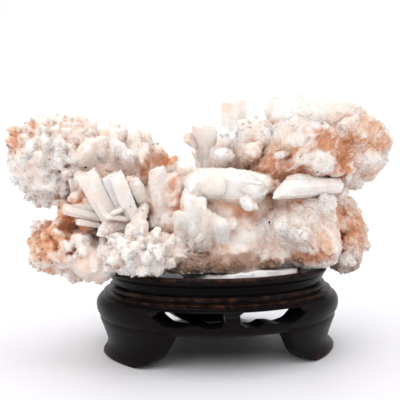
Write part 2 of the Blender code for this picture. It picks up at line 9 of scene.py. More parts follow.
import bmesh
import bpy
import numpy as np
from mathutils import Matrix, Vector

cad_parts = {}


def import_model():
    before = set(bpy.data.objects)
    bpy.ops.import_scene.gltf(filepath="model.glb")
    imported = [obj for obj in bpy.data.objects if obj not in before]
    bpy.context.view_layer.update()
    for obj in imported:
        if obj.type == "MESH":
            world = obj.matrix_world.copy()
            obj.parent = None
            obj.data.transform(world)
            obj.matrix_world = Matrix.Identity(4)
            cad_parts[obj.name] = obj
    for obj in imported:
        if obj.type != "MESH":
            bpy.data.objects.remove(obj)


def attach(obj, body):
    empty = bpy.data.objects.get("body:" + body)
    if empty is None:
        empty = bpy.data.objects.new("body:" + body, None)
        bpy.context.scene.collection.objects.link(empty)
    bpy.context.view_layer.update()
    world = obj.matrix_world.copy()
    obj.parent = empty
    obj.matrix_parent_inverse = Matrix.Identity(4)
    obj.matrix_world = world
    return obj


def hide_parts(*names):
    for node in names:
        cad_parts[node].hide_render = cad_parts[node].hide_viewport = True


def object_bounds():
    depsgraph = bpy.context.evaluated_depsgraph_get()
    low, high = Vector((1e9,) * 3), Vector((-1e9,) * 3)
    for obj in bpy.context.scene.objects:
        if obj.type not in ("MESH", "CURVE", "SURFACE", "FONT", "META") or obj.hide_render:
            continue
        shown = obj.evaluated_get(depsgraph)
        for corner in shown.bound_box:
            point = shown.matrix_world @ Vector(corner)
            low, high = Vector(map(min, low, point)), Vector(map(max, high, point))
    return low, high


LOG = logging.getLogger("aragonite")
MM = 0.001

# Layout of the front view, in millimetres
EYE_DISTANCE = 300.0
EYE_HEIGHT = 77.2
CLUSTER_SHIFT = (0.75, -1.3)
CLUSTER_LEAN = radians(0.7)
AXIS = (6.297, -0.128)
REST_Z = 39.75
REST_R = 55.6

# Room above the CAD box and round the tips of a fan, in metres
HEADROOM = 0.001
TIP_SLACK = 0.0005


class StainAndShade(Enum):
    """Mineral colours laid over the pale crystal, and a grey painted shade, in the order of the mask's
    channels.

    WHITE has no channel of its own in the finished masks: it takes rust and peach away.
    """

    RUST = 0
    PEACH = 1
    # painted shade: a grey tone laid where crystals lie in shadow
    PAINTED_SHADE = 2
    EARTH = 3
    WHITE = 4


@dataclass(frozen=True)
class Patch:
    """Ellipsoid within which a mineral colour, or the grey painted shade, shows.

    across, up, depth and the three half sizes are millimetres of the front view.
    """

    kind: StainAndShade
    across: float
    up: float
    depth: float
    half_across: float
    half_up: float
    half_deep: float
    strength: float


@dataclass(frozen=True)
class Fan:
    """A group of crystals listed one by one, and how side crystals grow round them.

    side_count is their number round each main crystal and side_spread how far their angles
    differ; side_length and side_width are ranges, as shares of the main crystal's.
    """

    rows: tuple
    side_count: int
    side_spread: float
    side_length: tuple
    side_width: tuple


@dataclass(frozen=True)
class BackFan:
    """Crystals radiating over the half of an ellipsoid that faces a given way."""

    centre: tuple
    reach: tuple
    facing: tuple
    count: int
    widths: tuple


@dataclass(frozen=True)
class CrystalShape:
    """How a crystal's outline and end are worked.

    levels are pairs of place along the length and size; cut is half the angle of a bevelled edge;
    ridge, tooth, slope and peak are shares of the width; slant replaces the random slope.
    """

    sides: int
    levels: tuple
    cut: float
    ridge: float
    tooth: float
    slope: float
    peak: float
    slant: tuple = ()


@dataclass(frozen=True)
class Spray:
    """Fine pointed blades that radiate from one centre out through a lobe's surface.

    centre and half are across, up and depth in millimetres of the front view, width is the
    least and greatest width of a blade and proud how far the longest stands out.
    """

    lobe: int
    centre: tuple
    half: tuple
    count: int
    width: tuple
    proud: float


@dataclass(frozen=True)
class Lobe:
    """One fused mass of the cluster: its rounded bodies, fans and far-side fans.

    backs counts into BACK_FANS. voxel is the skin's grid in millimetres, facet the height of the
    relief, soften the rounds of evening, and grain and grain_stretch the way in which the broken
    planes are longer and how many times.
    """

    name: str
    lumps: tuple
    fans: tuple
    backs: tuple
    voxel: float
    facet: float
    soften: int
    grain: tuple
    grain_stretch: float


@dataclass(frozen=True)
class StoneFinish:
    """Constant shading values of one crystal habit.

    facets is how strongly small crystal faces tilt the normal, stretch and turn how they lie.
    """

    name: str
    roughness: float
    ior: float
    scatter: float
    transmission: float
    coat: float
    bump: float
    facets: float
    stretch: tuple
    turn: tuple


@dataclass(frozen=True)
class CameraSpec:
    """Camera in the frame of the stand's axis, millimetres and pixels of a 400 pixel frame."""

    focal_px: float = 600.0
    axis_px: float = 216.0
    horizon_px: float = 187.0
    frame_px: float = 400.0
    roll_deg: float = 0.70


@dataclass(frozen=True)
class AreaLight:
    """Soft rectangular light: place and aim in metres, width and height, watts and colour."""

    name: str
    place: tuple
    aim: tuple
    size: tuple
    power: float
    colour: tuple


RADIAL = StoneFinish("aragonite_radial", 0.4, 1.62, 0.6, 0.0, 0.25, 0.55, 0.2,
                     (1.0, 1.0, 1.0), (0.0, 0.0, 0.0))
COLUMNAR = StoneFinish("aragonite_columnar", 0.38, 1.62, 0.6, 0.0, 0.25, 0.55, 0.2,
                       (1.0, 1.0, 0.32), (0.0, 0.12, 0.0))
SUGARY = StoneFinish("aragonite_sugary", 0.4, 1.62, 0.55, 0.0, 0.25, 0.7, 0.28,
                     (1.0, 1.0, 0.5), (0.0, -0.9, 0.0))
CLEAR = StoneFinish("aragonite_clear", 0.17, 1.62, 0.5, 0.12, 0.3, 0.35, 0.14,
                    (1.0, 1.0, 0.3), (0.0, 0.1, 0.0))

# Crystals: across, up, depth at the root, the same at the tip, width, thickness
UPPER_LEFT = Fan((
    (-86, 92, -10, -93, 111, -14, 5.5, 7), (-86, 92, -12, -98, 110, -20, 7, 8),
    (-86, 92, -8, -103, 107.5, -12, 5.5, 7), (-86, 91, -12, -105.5, 102.5, -18, 5.5, 7),
    (-86, 90, -8, -103.5, 97.5, -12, 5, 6), (-84, 90, -8, -104.5, 93.5, -12, 4.5, 6),
    (-84, 88, -10, -105, 89.3, -14, 4.5, 6), (-84, 86, -8, -103, 82.5, -14, 5.5, 7),
    (-82, 84, -8, -99, 77.5, -14, 5, 6), (-80, 84, -8, -95, 73.2, -12, 5.5, 7),
    (-79, 84, -6, -91, 69.3, -10, 5.5, 7), (-77, 84, -6, -86, 69.6, -12, 5.5, 7),
    (-76, 84, -6, -81.5, 70.3, -12, 5.5, 7), (-84, 92, -12, -88.5, 113.5, -16, 6.5, 8),
    (-80, 94, -14, -81, 113.6, -22, 8, 8), (-75, 92, -12, -73.5, 114, -16, 8, 8),
    (-70, 92, -8, -67, 114, -12, 6.5, 8), (-65, 90, -8, -62, 111.7, -12, 5, 7),
    (-86, 92, -10, -94, 101, -27, 7, 6), (-84, 93, -10, -87, 103, -28, 7, 6),
    (-80, 92, -10, -79, 101, -28, 7, 6), (-76, 92, -10, -72, 103, -24, 6.5, 6),
    (-86, 90, -10, -97, 93, -25, 6.5, 6), (-84, 90, -10, -90, 94, -30, 6.5, 6),
    (-84, 88, -10, -95, 85, -25, 6.5, 6), (-82, 88, -10, -88, 86, -29, 6.5, 6),
    (-82, 86, -10, -90, 78, -24, 6.5, 6), (-79, 86, -10, -83, 78, -26, 6.5, 6),
    (-78, 89, -10, -80, 91, -30, 6, 6), (-76, 88, -10, -75, 84, -28, 6.5, 6),
    (-74, 90, -10, -73, 93, -27, 6, 6), (-76, 86, -10, -77, 76, -22, 6, 6),
), 6, 0.30, (0.74, 0.98), (0.45, 0.8))
TOP_LEFT = Fan((
    (-66, 84, -16, -66, 99.5, -28, 8.5, 9), (-57, 86, -18, -58.4, 103.8, -28, 5.5, 8),
    (-53, 86, -14, -54.5, 108.5, -22, 10, 9), (-48, 86, -12, -51, 110.7, -15, 5.5, 8),
    (-42, 84, -16, -42, 106.8, -22, 7, 9), (-38, 84, -12, -36, 106.2, -17, 7, 9),
    (-36, 86, -10, -31.5, 100.2, -14, 6, 8), (-32, 86, -10, -26.5, 96.8, -15, 9, 9),
    (-28, 84, -12, -20.5, 92.6, -16, 6, 7), (-50, 84, -14, -48.5, 101, -28, 6.5, 7),
    (-44, 84, -16, -45, 96, -28, 7, 6), (-36, 84, -14, -37.5, 97, -24, 7, 7),
), 5, 0.18, (0.75, 0.97), (0.4, 0.75))
PRISMS = Fan((
    (-50, 56, -30, -66, 85.5, -38, 10.0, 11), (-45, 60, -30, -56, 83.5, -37, 4.6, 6),
    (-39, 55, -32, -51, 84.5, -38, 7.6, 10), (-59, 63, -30, -77, 67.5, -38, 4.8, 7),
    (-58, 59, -30, -70, 61, -38, 3.0, 5), (-42, 62, -33, -56, 64, -42, 3.4, 5),
), 0, 0.08, (0.6, 0.9), (0.3, 0.5))
BIG_WHITE = Fan((
    (-15, 80.5, -26, 25.5, 77.5, -38.0, 16.0, 15),
), 0, 0.08, (0.6, 0.9), (0.3, 0.5))
MIDDLE_LEFT = Fan((
    (-38.5, 66, -24, -43, 82.5, -32, 7.5, 8),
    (-53, 68, -26, -73.8, 67.6, -34, 5.2, 6), (-58, 71, -18, -73.5, 73.5, -30, 6.5, 7),
    (-64, 66, -16, -70.3, 85.5, -27, 6.5, 8), (-66, 66, -10, -79.8, 71.2, -20, 5, 7),
    (-66, 63, -10, -79.2, 65.8, -22, 5, 7), (-66, 61, -12, -80.2, 61.3, -22, 5, 7),
    (-57, 62, -24, -68.5, 62.8, -32, 3.8, 5), (-58, 59, -24, -67.5, 58.6, -32, 4.5, 6),
    (-43, 61, -28, -58, 57, -40, 8.5, 8), (-42, 69.6, -30, -53, 65, -43, 2.8, 4),
    (-36, 69, -32, -42, 52, -44, 6.5, 7),
), 2, 0.10, (0.6, 0.9), (0.35, 0.6))
LOWER_LEFT = Fan((
    (-76, 52, -12, -87.5, 61.3, -20, 5.5, 7), (-76, 52, -12, -91.7, 60, -20, 5, 7),
    (-76, 50, -12, -93.2, 56.2, -22, 5.5, 7), (-76, 48, -14, -93.7, 50.5, -26, 5.5, 7),
    (-75, 47, -14, -94, 45.4, -24, 6, 7), (-75, 45, -14, -89.8, 39.6, -22, 5.5, 7),
    (-73, 45, -14, -84, 36.8, -22, 5, 7), (-74, 50, -14, -86.5, 55, -32, 6.5, 6),
    (-74, 48, -14, -86, 48, -34, 6.5, 6), (-74, 46, -14, -82, 43.5, -36, 6.5, 6),
    (-72, 52, -14, -79.5, 54, -36, 7, 6), (-72, 49, -16, -77, 48.5, -40, 7, 6),
    (-70, 46, -16, -75, 40, -36, 7, 7), (-66, 46, -16, -77.5, 34.4, -26, 6.5, 7),
    (-64, 44, -18, -71.5, 32.2, -28, 8, 8), (-56, 42, -22, -65.5, 33.4, -34, 7.5, 7),
    (-58, 50, -24, -63, 38.5, -42, 9.5, 8), (-50, 42, -26, -58, 33, -38, 7, 7),
    (-66, 54, -16, -70.5, 52, -40, 7, 7), (-62, 52, -20, -67.5, 46, -42, 6, 6),
), 6, 0.27, (0.72, 0.98), (0.45, 0.8))
LOWER_WHITE = Fan((
    (-34, 46, -34, -52.5, 53, -50, 6, 7), (-34, 45, -34, -56.5, 46, -51, 6.4, 8),
    (-34, 42, -34, -56.5, 38.5, -50, 5.6, 7), (-33, 44, -36, -54, 42, -54, 5.4, 6),
    (-30, 42, -36, -46, 36.6, -52, 6, 7), (-28, 42, -36, -38, 36.4, -54, 5.6, 6),
    (-26, 42, -34, -30, 36.8, -52, 6, 7), (-33, 44, -36, -30.2, 56.8, -50, 4.4, 6),
    (-37, 47, -36, -37.6, 62, -48, 5.4, 7), (-40, 45, -36, -44.6, 58, -49, 4.8, 6),
    (-38, 46, -38, -49, 50.5, -55, 5.2, 7), (-24, 44, -34, -24, 51.5, -51, 5.4, 7),
    (-20, 42, -34, -19, 46, -49, 6, 6), (-36, 46, -36, -41.5, 49, -57, 5.6, 7),
    (-34, 45, -36, -36, 43, -58, 5.4, 6), (-28, 44, -36, -29, 47, -56, 5.6, 7),
    (-26, 42, -36, -23, 40, -54, 5.4, 6), (-36, 44, -38, -46, 44, -57, 5.2, 6),
), 7, 0.22, (0.75, 1.0), (0.3, 0.55))
CENTRE = Fan((
    (-29, 64, -30, -30, 87.8, -38, 9.8, 9), (-35, 66, -26, -42, 80.5, -36, 7, 8),
    (-18, 46, -34, -18.5, 66, -44, 6.5, 7), (-13.5, 44, -34, -13, 74, -44, 6, 7),
    (-9, 45, -34, -8.6, 72, -43, 5.2, 7), (-4.6, 47, -32, -5.2, 66, -42, 5.5, 7),
    (1.5, 47, -30, 1.8, 63, -41, 8.5, 8), (-9, 84, -28, -16.5, 67, -40, 9, 9),
    (-8, 84, -22, -19.5, 88.4, -32, 7, 8), (-7, 82, -26, -14.5, 80, -38, 9, 8),
    (13.5, 78, -32, 14.6, 68.2, -44, 6.5, 6), (8, 60, -26, 6.5, 60.5, -40, 7, 6),
    (-22, 70, -24, -24, 76, -34, 7, 8), (-12, 81.5, -26, 22.5, 78, -37, 16, 14),
), 4, 0.13, (0.6, 0.95), (0.3, 0.55))
TOWERS = Fan((
    (8, 96, -6, 8, 122, -9, 14.5, 10), (0, 90, -10, 1.5, 106, -13, 7, 7),
    (13, 100, -8, 18.8, 115, -10, 5.5, 7), (-3.5, 88, -8, -7.2, 110, -16, 12.5, 10),
    (-9, 90, -14, -12.4, 97, -20, 2.8, 4), (-7, 97, -10, -15.6, 103.4, -16, 6, 7),
), 2, 0.10, (0.6, 0.9), (0.3, 0.5))
TOWER_FRONT = Fan((
    (10, 88, -12, 15.5, 111.2, -27, 13, 10), (3, 88, -10, 4, 105.5, -24, 9, 8),
    (24, 92, -10, 24.5, 109.5, -26, 11, 9), (3, 86, -12, 3.5, 96, -29, 10, 8),
    (17, 90, -12, 17, 98, -32, 9, 8),
), 4, 0.2, (0.6, 0.95), (0.4, 0.7))
LOBE_GLASS = Fan((
    (50, 112, -8, 27.5, 122, -13, 7, 8), (48, 108, -10, 24.5, 116.6, -18, 6.5, 8),
    (40, 110, -10, 38, 123.6, -12, 11, 14), (52, 106, -8, 55, 122.8, -12, 12, 14),
    (40, 97, -20, 28.4, 93.6, -40, 5.6, 5), (46, 104, -14, 47, 114, -28, 13, 9),
), 0, 0.16, (0.6, 0.85), (0.35, 0.6))
LOBE = Fan((
    (62, 98, -6, 69.5, 119, -12, 11, 12), (62, 96, -6, 76.5, 114.4, -12, 11, 12),
    (64, 96, -6, 83, 108, -12, 10, 12), (64, 96, -6, 87.6, 100.5, -12, 9, 12),
    (64, 94, -6, 84.6, 93, -12, 8, 11), (62, 90, -6, 79.5, 84, -12, 8.5, 12),
    (58, 90, -8, 71, 78.6, -14, 9, 12), (52, 102, -14, 36.5, 111.5, -31, 11, 9),
    (62, 98, -14, 66.5, 113, -30, 9.5, 9), (56, 96, -16, 34.5, 101.2, -34, 7, 8),
    (60, 96, -12, 73.5, 105, -28, 9, 9), (44, 96, -16, 42, 93, -35, 8, 7),
    (56, 92, -14, 58.5, 86, -30, 8, 8), (60, 92, -12, 67.5, 86.5, -27, 8, 8),
    (56, 98, -12, 55, 104, -27, 9, 8), (44, 88, -14, 35, 87, -33, 8, 8),
    (28, 92, -12, 24, 88, -30, 9, 8),
), 4, 0.3, (0.8, 0.99), (0.3, 0.6))
CHISEL = Fan((
    (60, 79, -24, 32.5, 77.6, -42, 9.0, 9), (58, 81, -22, 37, 82.2, -37, 6, 8),
), 0, 0.08, (0.6, 0.9), (0.3, 0.5))
PILLARS = Fan((
    (50, 56, -22, 45.8, 71.8, -32, 6, 7), (54, 58, -22, 52.6, 75, -34, 7, 8),
    (57, 60, -20, 57, 74.5, -32, 5.5, 7),
), 5, 0.15, (0.6, 0.95), (0.3, 0.6))
RIGHT_MIDDLE = Fan((
    (58, 72, -14, 63.5, 77, -24, 7, 8), (36, 60, -28, 31, 60, -45, 9, 7),
    (28, 80, -18, 27.5, 79.5, -34, 8, 7), (40, 56, -26, 42, 53.5, -42, 8, 7),
), 4, 0.35, (0.6, 0.98), (0.25, 0.5))
LOWER_RIGHT = Fan((
    (62, 56, -4, 65.5, 73.6, -8, 8.5, 11), (63, 56, -4, 71, 66.6, -8, 8, 11),
    (63, 55, -4, 75.2, 58.6, -8, 8, 11), (63, 52, -4, 75, 50, -8, 8, 11),
    (62, 50, -4, 72, 42.6, -8, 7.5, 11), (62, 56, -8, 64.5, 62, -22, 8.5, 8),
    (62, 50, -8, 66.5, 50.5, -22, 8.5, 8), (61, 46, -8, 63.5, 42, -22, 8, 8),
), 4, 0.34, (0.8, 1.0), (0.3, 0.6))

# Far-side fans: centre, reach, facing, number and widths of the crystals
BACK_FANS = (
    BackFan((-80, 0, 90), (23, 27, 21), (-0.35, 1.0, 0.15), 12, (8, 11)),
    BackFan((-50, 2, 88), (22, 29, 19), (0.1, 1.0, 0.5), 12, (8, 12)),
    BackFan((-48, 0, 60), (26, 32, 20), (-0.1, 1.0, -0.1), 11, (9, 13)),
    BackFan((-2, 2, 62), (28, 36, 21), (0.0, 1.0, 0.15), 12, (10, 14)),
    BackFan((4, -2, 92), (17, 24, 18), (0.0, 1.0, 0.5), 7, (9, 12)),
    BackFan((52, -2, 98), (33, 32, 24), (0.3, 1.0, 0.35), 17, (10, 15)),
    BackFan((46, 0, 60), (25, 31, 19), (0.4, 1.0, -0.1), 11, (9, 13)),
    BackFan((-74, -8, 50), (17, 21, 12), (-0.6, 1.0, -0.3), 9, (7, 10)),
)

# Their spread: golden angle in turns, share of the half sphere, shake in radians, range of the
# reach, where the roots lie as a share of the reach, and thickness as a share of the width
GOLDEN_TURN = 0.381966
BACK_SPAN = 0.82
BACK_SHAKE = 0.2
BACK_REACH = (0.9, 1.0)
BACK_ROOT = 0.35
BACK_THICKNESS = 0.9

# Rounded bodies in each lobe: across, up, depth, half sizes across, up and deep
LOBES = (
    Lobe("upper_left", (
        (-84, 91, -8, 18.5, 19, 19.5), (-50, 89, -4, 25, 15.5, 20), (-76, 80, -6, 11, 9, 14),
        (-70, 98, -8, 16, 12, 14),
    ), (UPPER_LEFT, TOP_LEFT), (0, 1), 0.58, 0.35, 2, (-0.4, 0.0, 0.9), 2.0),
    Lobe("lower_left", (
        (-62, 68, -6, 15, 15, 17), (-77, 47, -17, 15, 11.5, 16), (-44, 60, -8, 20, 22, 20),
        (-60, 40, -30, 12, 7, 12),
    ), (MIDDLE_LEFT, LOWER_LEFT), (2, 7), 0.58, 0.35, 2, (-0.5, 0.0, 0.9), 2.2),
    Lobe("centre", (
        (-20, 66, -10, 20, 22, 24), (8, 66, -8, 26, 22, 26), (-30, 46, -22, 26, 10, 22),
        (8, 46, -18, 28, 10, 22), (14, 53, -30, 9, 8, 7), (3, 79.5, -31, 14, 8, 9),
        (24, 56, -20, 12, 12, 15), (-24, 62, -30, 10, 6, 6), (-13, 40, -34, 12, 6.5, 9),
        (6, 41, -33, 15, 7.5, 9), (-37, 45.5, -40, 18, 10, 14),
    ), (LOWER_WHITE, CENTRE), (3,), 0.62, 0.55, 1, (0.1, 0.0, 1.0), 3.0),
    Lobe("towers", (
        (2, 94, -4, 13, 15, 14), (21, 104, -20, 9, 8, 8),
    ), (TOWER_FRONT,), (4,), 0.55, 0.8, 2, (0.1, 0.0, 1.0), 2.0),
    Lobe("upper_right", (
        (42, 98, -8, 26, 20, 24), (62, 99, -4, 20, 18, 22), (51, 90.5, -29, 8.5, 6.5, 6),
        (75, 92, -16, 7.5, 6, 9), (24, 84, -6, 11, 8, 18), (56, 82, -8, 11, 6, 14),
        (71, 99, -6, 14.5, 13, 14), (58, 107, -8, 19, 13, 15), (28, 88, -13, 13, 11, 20),
    ), (LOBE,), (5,), 0.64, 1.35, 22, (0.8, 0.0, 0.6), 2.2),
    Lobe("lower_right", (
        (40, 64, -8, 22, 20, 27), (64, 55, -4, 9, 15, 16), (40, 50, -14, 18, 9, 22),
        (52, 49.5, -26, 9.2, 10.5, 9), (34, 57, -27, 14.5, 11.5, 12), (63, 41, -8, 8.5, 5.5, 11),
        (25, 44, -30, 12, 5, 9), (46, 42, -20, 10, 4.5, 12), (59, 69, -6, 6, 7, 10),
    ), (RIGHT_MIDDLE, PILLARS, LOWER_RIGHT), (6,), 0.62, 1.3, 16, (-0.6, 0.0, 0.8), 2.2),
    Lobe("glass_top", (
        (40, 112, -14, 17, 11, 15), (54, 112.5, -12, 16, 9.5, 15), (31, 117, -14, 8, 5.5, 8),
    ), (LOBE_GLASS,), (), 0.6, 0.7, 26, (0.9, 0.0, 0.3), 2.5),
)
LOBE_FINISHES = (RADIAL, RADIAL, COLUMNAR, COLUMNAR, SUGARY, SUGARY, CLEAR)

# Sprays: number of the lobe, middle, half sizes, number of blades, widths, height above the surface
SPRAYS = (
    Spray(0, (-80, 91, 2), (30, 27, 36), 640, (1.3, 3.2), 1.7),
    Spray(0, (-46, 80, 2), (30, 34, 34), 330, (1.8, 4.0), 1.4),
    Spray(1, (-70, 50, -6), (28, 21, 38), 420, (1.4, 3.4), 1.6),
    Spray(2, (-30, 42, -30), (32, 22, 32), 420, (1.4, 3.4), 1.6),
    Spray(3, (14, 92, -10), (22, 24, 34), 130, (1.8, 4.0), 1.2),
)

# Outlines and ends of the crystals
ROUGH = CrystalShape(6, ((0.0, 0.8), (0.45, 0.93), (0.86, 1.0), (0.97, 0.9), (1.0, 0.72)),
                     0.08, 0.07, 0.13, 0.6, 0.05)
CRISP = CrystalShape(6, ((0.0, 0.85), (0.5, 0.95), (0.84, 1.0), (0.96, 0.98), (1.0, 0.88)),
                     0.07, 0.05, 0.09, 0.25, 0.02)
WEDGE = CrystalShape(6, ((0.0, 0.9), (0.5, 0.97), (0.84, 1.0), (0.93, 0.99), (1.0, 0.9)),
                     0.05, 0.02, 0.03, 0.0, 0.01, (0.95, 0.25))
GRAIN = CrystalShape(4, ((0.0, 1.0), (1.0, 0.66)), 0.0, 0.1, 0.1, 0.5, 0.1)
SHORN = CrystalShape(7, ((0.0, 0.85), (0.4, 0.95), (0.8, 1.0), (0.9, 0.93), (0.97, 0.78), (1.0, 0.5)),
                     0.1, 0.07, 0.12, 0.0, 0.04, (0.35, 0.3))
BLADE = CrystalShape(5, ((0.0, 0.8), (0.72, 1.0), (1.0, 0.4)), 0.0, 0.06, 0.1, 0.5, 0.35)
CLEAR_FANS = ((TOWERS, CRISP), (PRISMS, CRISP), (BIG_WHITE, SHORN), (CHISEL, WEDGE))

# Mineral colours and painted shade (the grey patches): across, up, depth, half sizes across, up and deep,
# strength
STAINS_AND_SHADE = {
    StainAndShade.RUST: (
        (24, 84, -30, 12, 6, 14, 1.0), (37, 88, -30, 12, 6, 14, 1.0), (27, 78, -30, 6, 5, 12, 0.9),
        (53, 101, -26, 10, 8, 12, 0.9), (62, 97, -24, 8, 9, 12, 1.0), (63, 88, -24, 7, 6, 12, 1.0),
        (78, 99, -16, 9, 4.5, 12, 0.8), (28, 111, -24, 6, 3, 8, 0.5), (61, 59, -18, 6, 13, 12, 0.9),
        (70, 57, -14, 6, 7, 12, 0.8), (39, 70, -22, 7, 5, 10, 1.0), (45, 45, -26, 12, 4, 14, 1.0),
        (27, 41, -34, 12, 3, 12, 0.9), (15, 66, -34, 7, 4, 10, 0.8), (-1, 63, -36, 3, 5, 8, 0.6),
        (-21, 77, -30, 3.5, 9, 12, 1.0), (-19, 68, -34, 4, 4, 10, 0.8), (-35, 87, -22, 5, 8, 10, 1.0),
        (-28, 92, -18, 6, 5, 10, 0.9), (-41, 83, -26, 5, 3.5, 8, 0.7), (-57, 82, -28, 4, 3, 8, 0.5),
        (-69, 73, -30, 8, 4, 10, 0.9), (-67, 60, -28, 9, 5, 12, 1.0), (-88, 56, -24, 8, 6, 12, 0.35),
        (-101, 100, -16, 7, 7, 12, 0.55), (70, 99, -20, 12, 6, 14, 0.7), (-15, 106, -16, 5, 6, 8, 0.7),
        (1, 119, -9, 5, 5, 10, 0.6), (-38, 62, -36, 5, 9, 10, 0.35), (-84, 49, -26, 13, 12, 16, 0.6),
        (62, 52, -16, 9, 9, 14, 0.9), (-72, 64, -22, 12, 9, 14, 0.8), (-58, 76, -22, 14, 9, 10, 0.7),
        (-47, 71, -22, 8, 9, 10, 0.5), (70, 90, 14, 12, 10, 12, 0.8), (-46, 66, 18, 16, 12, 12, 0.7),
    ),
    StainAndShade.PEACH: (
        (75, 108, -18, 9, 8, 14, 0.8), (58, 116, -20, 8, 4, 12, 0.5), (21, 94, -28, 8, 8, 10, 0.9),
        (78, 84, -16, 8, 6, 12, 0.6), (67, 64, -14, 8, 9, 12, 0.7), (54, 50, -38, 7, 6, 8, 0.8),
        (5, 70, -32, 12, 4, 12, 0.9), (-23, 95, -16, 6, 5, 10, 0.9), (-66, 84, -34, 7, 6, 10, 0.9),
        (-76, 66, -20, 7, 10, 12, 1.0), (-84, 50, -28, 13, 12, 16, 1.0), (-101, 104, -16, 9, 9, 14, 1.0),
        (-80, 109, -18, 8, 6, 12, 0.5), (-55, 107, -22, 6, 4, 10, 0.6), (-69, 97, -26, 4, 4, 8, 0.6),
        (8, 120, -9, 9, 4, 12, 0.55), (-10, 108, -16, 7, 4, 10, 0.7), (-14, 103, -16, 4, 4, 8, 0.8),
        (3, 98, -18, 4, 5, 8, 0.5), (-38, 104, -18, 7, 5, 12, 0.35), (-50, 76, -30, 12, 8, 12, 0.3),
        (14, 79, -42, 6, 4, 6, 0.35), (-33, 76, -34, 5, 5, 8, 0.3), (66, 104, -20, 20, 13, 16, 0.8),
        (32, 95, -28, 12, 8, 12, 0.7), (44, 83, -22, 12, 5, 9, 0.8), (38, 56, -34, 20, 12, 14, 0.35),
        (68, 56, -14, 11, 14, 14, 0.7), (-42, 88, -24, 22, 16, 16, 0.3), (-66, 84, -40, 5, 5, 8, 0.7),
        (62, 100, 14, 22, 18, 14, 0.9), (-92, 92, 14, 18, 16, 14, 0.8), (52, 56, 18, 20, 14, 14, 0.8),
        (-4, 68, 22, 18, 12, 12, 0.6), (-74, 50, 8, 16, 12, 14, 0.8),
    ),
    # Painted shade: grey on the crystal in shadow at the middle left, the shaded lower left of the upper left
    # fan and the shaded base
    StainAndShade.PAINTED_SHADE: (
        (-92, 80, -16, 15, 12, 16, 0.2), (-76, 82, -24, 9, 8, 10, 0.2), (-50, 58, -42, 10, 7, 10, 0.7),
        (26, 45, -36, 12, 5, 12, 0.5),
    ),
    StainAndShade.EARTH: (
        (37, 71, -20, 6, 4, 8, 0.7), (-60, 58, -26, 3.5, 3, 8, 1.0), (4, 41, -36, 24, 6, 14, 1.0),
        (-15, 39, -40, 10, 3.5, 12, 0.9), (62, 39, -12, 11, 4.5, 14, 0.7), (0, 68, -30, 12, 4, 8, 0.3),
        (0, 40, 16, 34, 7, 16, 0.9),
    ),
    StainAndShade.WHITE: (
        (-42, 45, -50, 22, 14, 16, 1.0), (-86, 85, -26, 15, 13, 16, 0.85), (2, 81, -38, 20, 8, 14, 1.0),
        (-9, 60, -42, 11, 13, 14, 0.8), (-45, 95, -24, 9, 9, 14, 0.6), (-29, 74, -40, 8, 10, 12, 0.6),
        (-46, 72, -36, 9, 8, 12, 0.5), (49, 92, -36, 8, 4.5, 10, 0.7), (75, 93, -22, 8, 5, 12, 0.5),
        (33, 58, -40, 10, 6, 10, 0.55), (12, 52, -40, 8, 7, 10, 0.6), (42, 117, -18, 18, 7, 20, 0.8),
        (10, 106, -24, 12, 12, 14, 0.7), (66, 43, -20, 8, 5, 12, 0.6), (45, 79, -42, 16, 6, 7, 0.9),
        (-52, 70, -42, 16, 12, 7, 0.5),
    ),
}
PATCHES = tuple(Patch(kind, *row) for kind, rows in STAINS_AND_SHADE.items() for row in rows)

# Dark inclusions seen on the front: across, up, size in millimetres
SPECKS = (
    (-79, 86.8, 0.75), (-66, 88.4, 1.0), (-75.4, 77, 0.7), (-96.5, 86.8, 0.45), (-79.2, 71, 0.6),
    (-43.5, 68.7, 0.7), (-90.5, 50, 0.6), (-89.4, 48.6, 0.4), (-86, 45, 0.7), (-88.4, 41.9, 0.7),
    (-69.8, 99.7, 0.5), (-60, 57.8, 1.1), (50, 86, 0.8), (41.5, 93.8, 0.5), (26, 60.8, 0.9),
    (45.6, 120, 0.5), (19.4, 59.3, 0.5), (-84, 92.4, 0.7), (-86, 88.6, 0.6), (-83.6, 38, 0.5),
)


def placed(rows: np.ndarray) -> np.ndarray:
    """Real positions of points laid out in the front view.

    A point is pushed along its line of sight to its depth, then the cluster's lean and the stand's
    place in the frame are added.

    Args:
        rows: across, up and depth in millimetres, one point a row.

    Returns:
        Positions in metres, one a row.
    """
    rows = np.atleast_2d(np.asarray(rows, dtype=float))
    scale = (EYE_DISTANCE + rows[:, 2]) / EYE_DISTANCE
    x = (rows[:, 0] + CLUSTER_SHIFT[0]) * scale
    z = EYE_HEIGHT + (rows[:, 1] + CLUSTER_SHIFT[1] - EYE_HEIGHT) * scale
    return leaned(np.column_stack([x, rows[:, 2], z]))


def leaned(points: np.ndarray) -> np.ndarray:
    """Millimetre points round the stand's axis, turned by the cluster's lean and moved to the frame.

    Args:
        points: positions in millimetres round the stand's axis.

    Returns:
        Positions in metres in the shared frame.
    """
    c, s = np.cos(CLUSTER_LEAN), np.sin(CLUSTER_LEAN)
    x, up = points[:, 0], points[:, 2] - EYE_HEIGHT
    turned = np.column_stack([x * c + up * s, points[:, 1], up * c - x * s + EYE_HEIGHT])
    return (turned + np.array([AXIS[0], AXIS[1], 0.0])) * MM


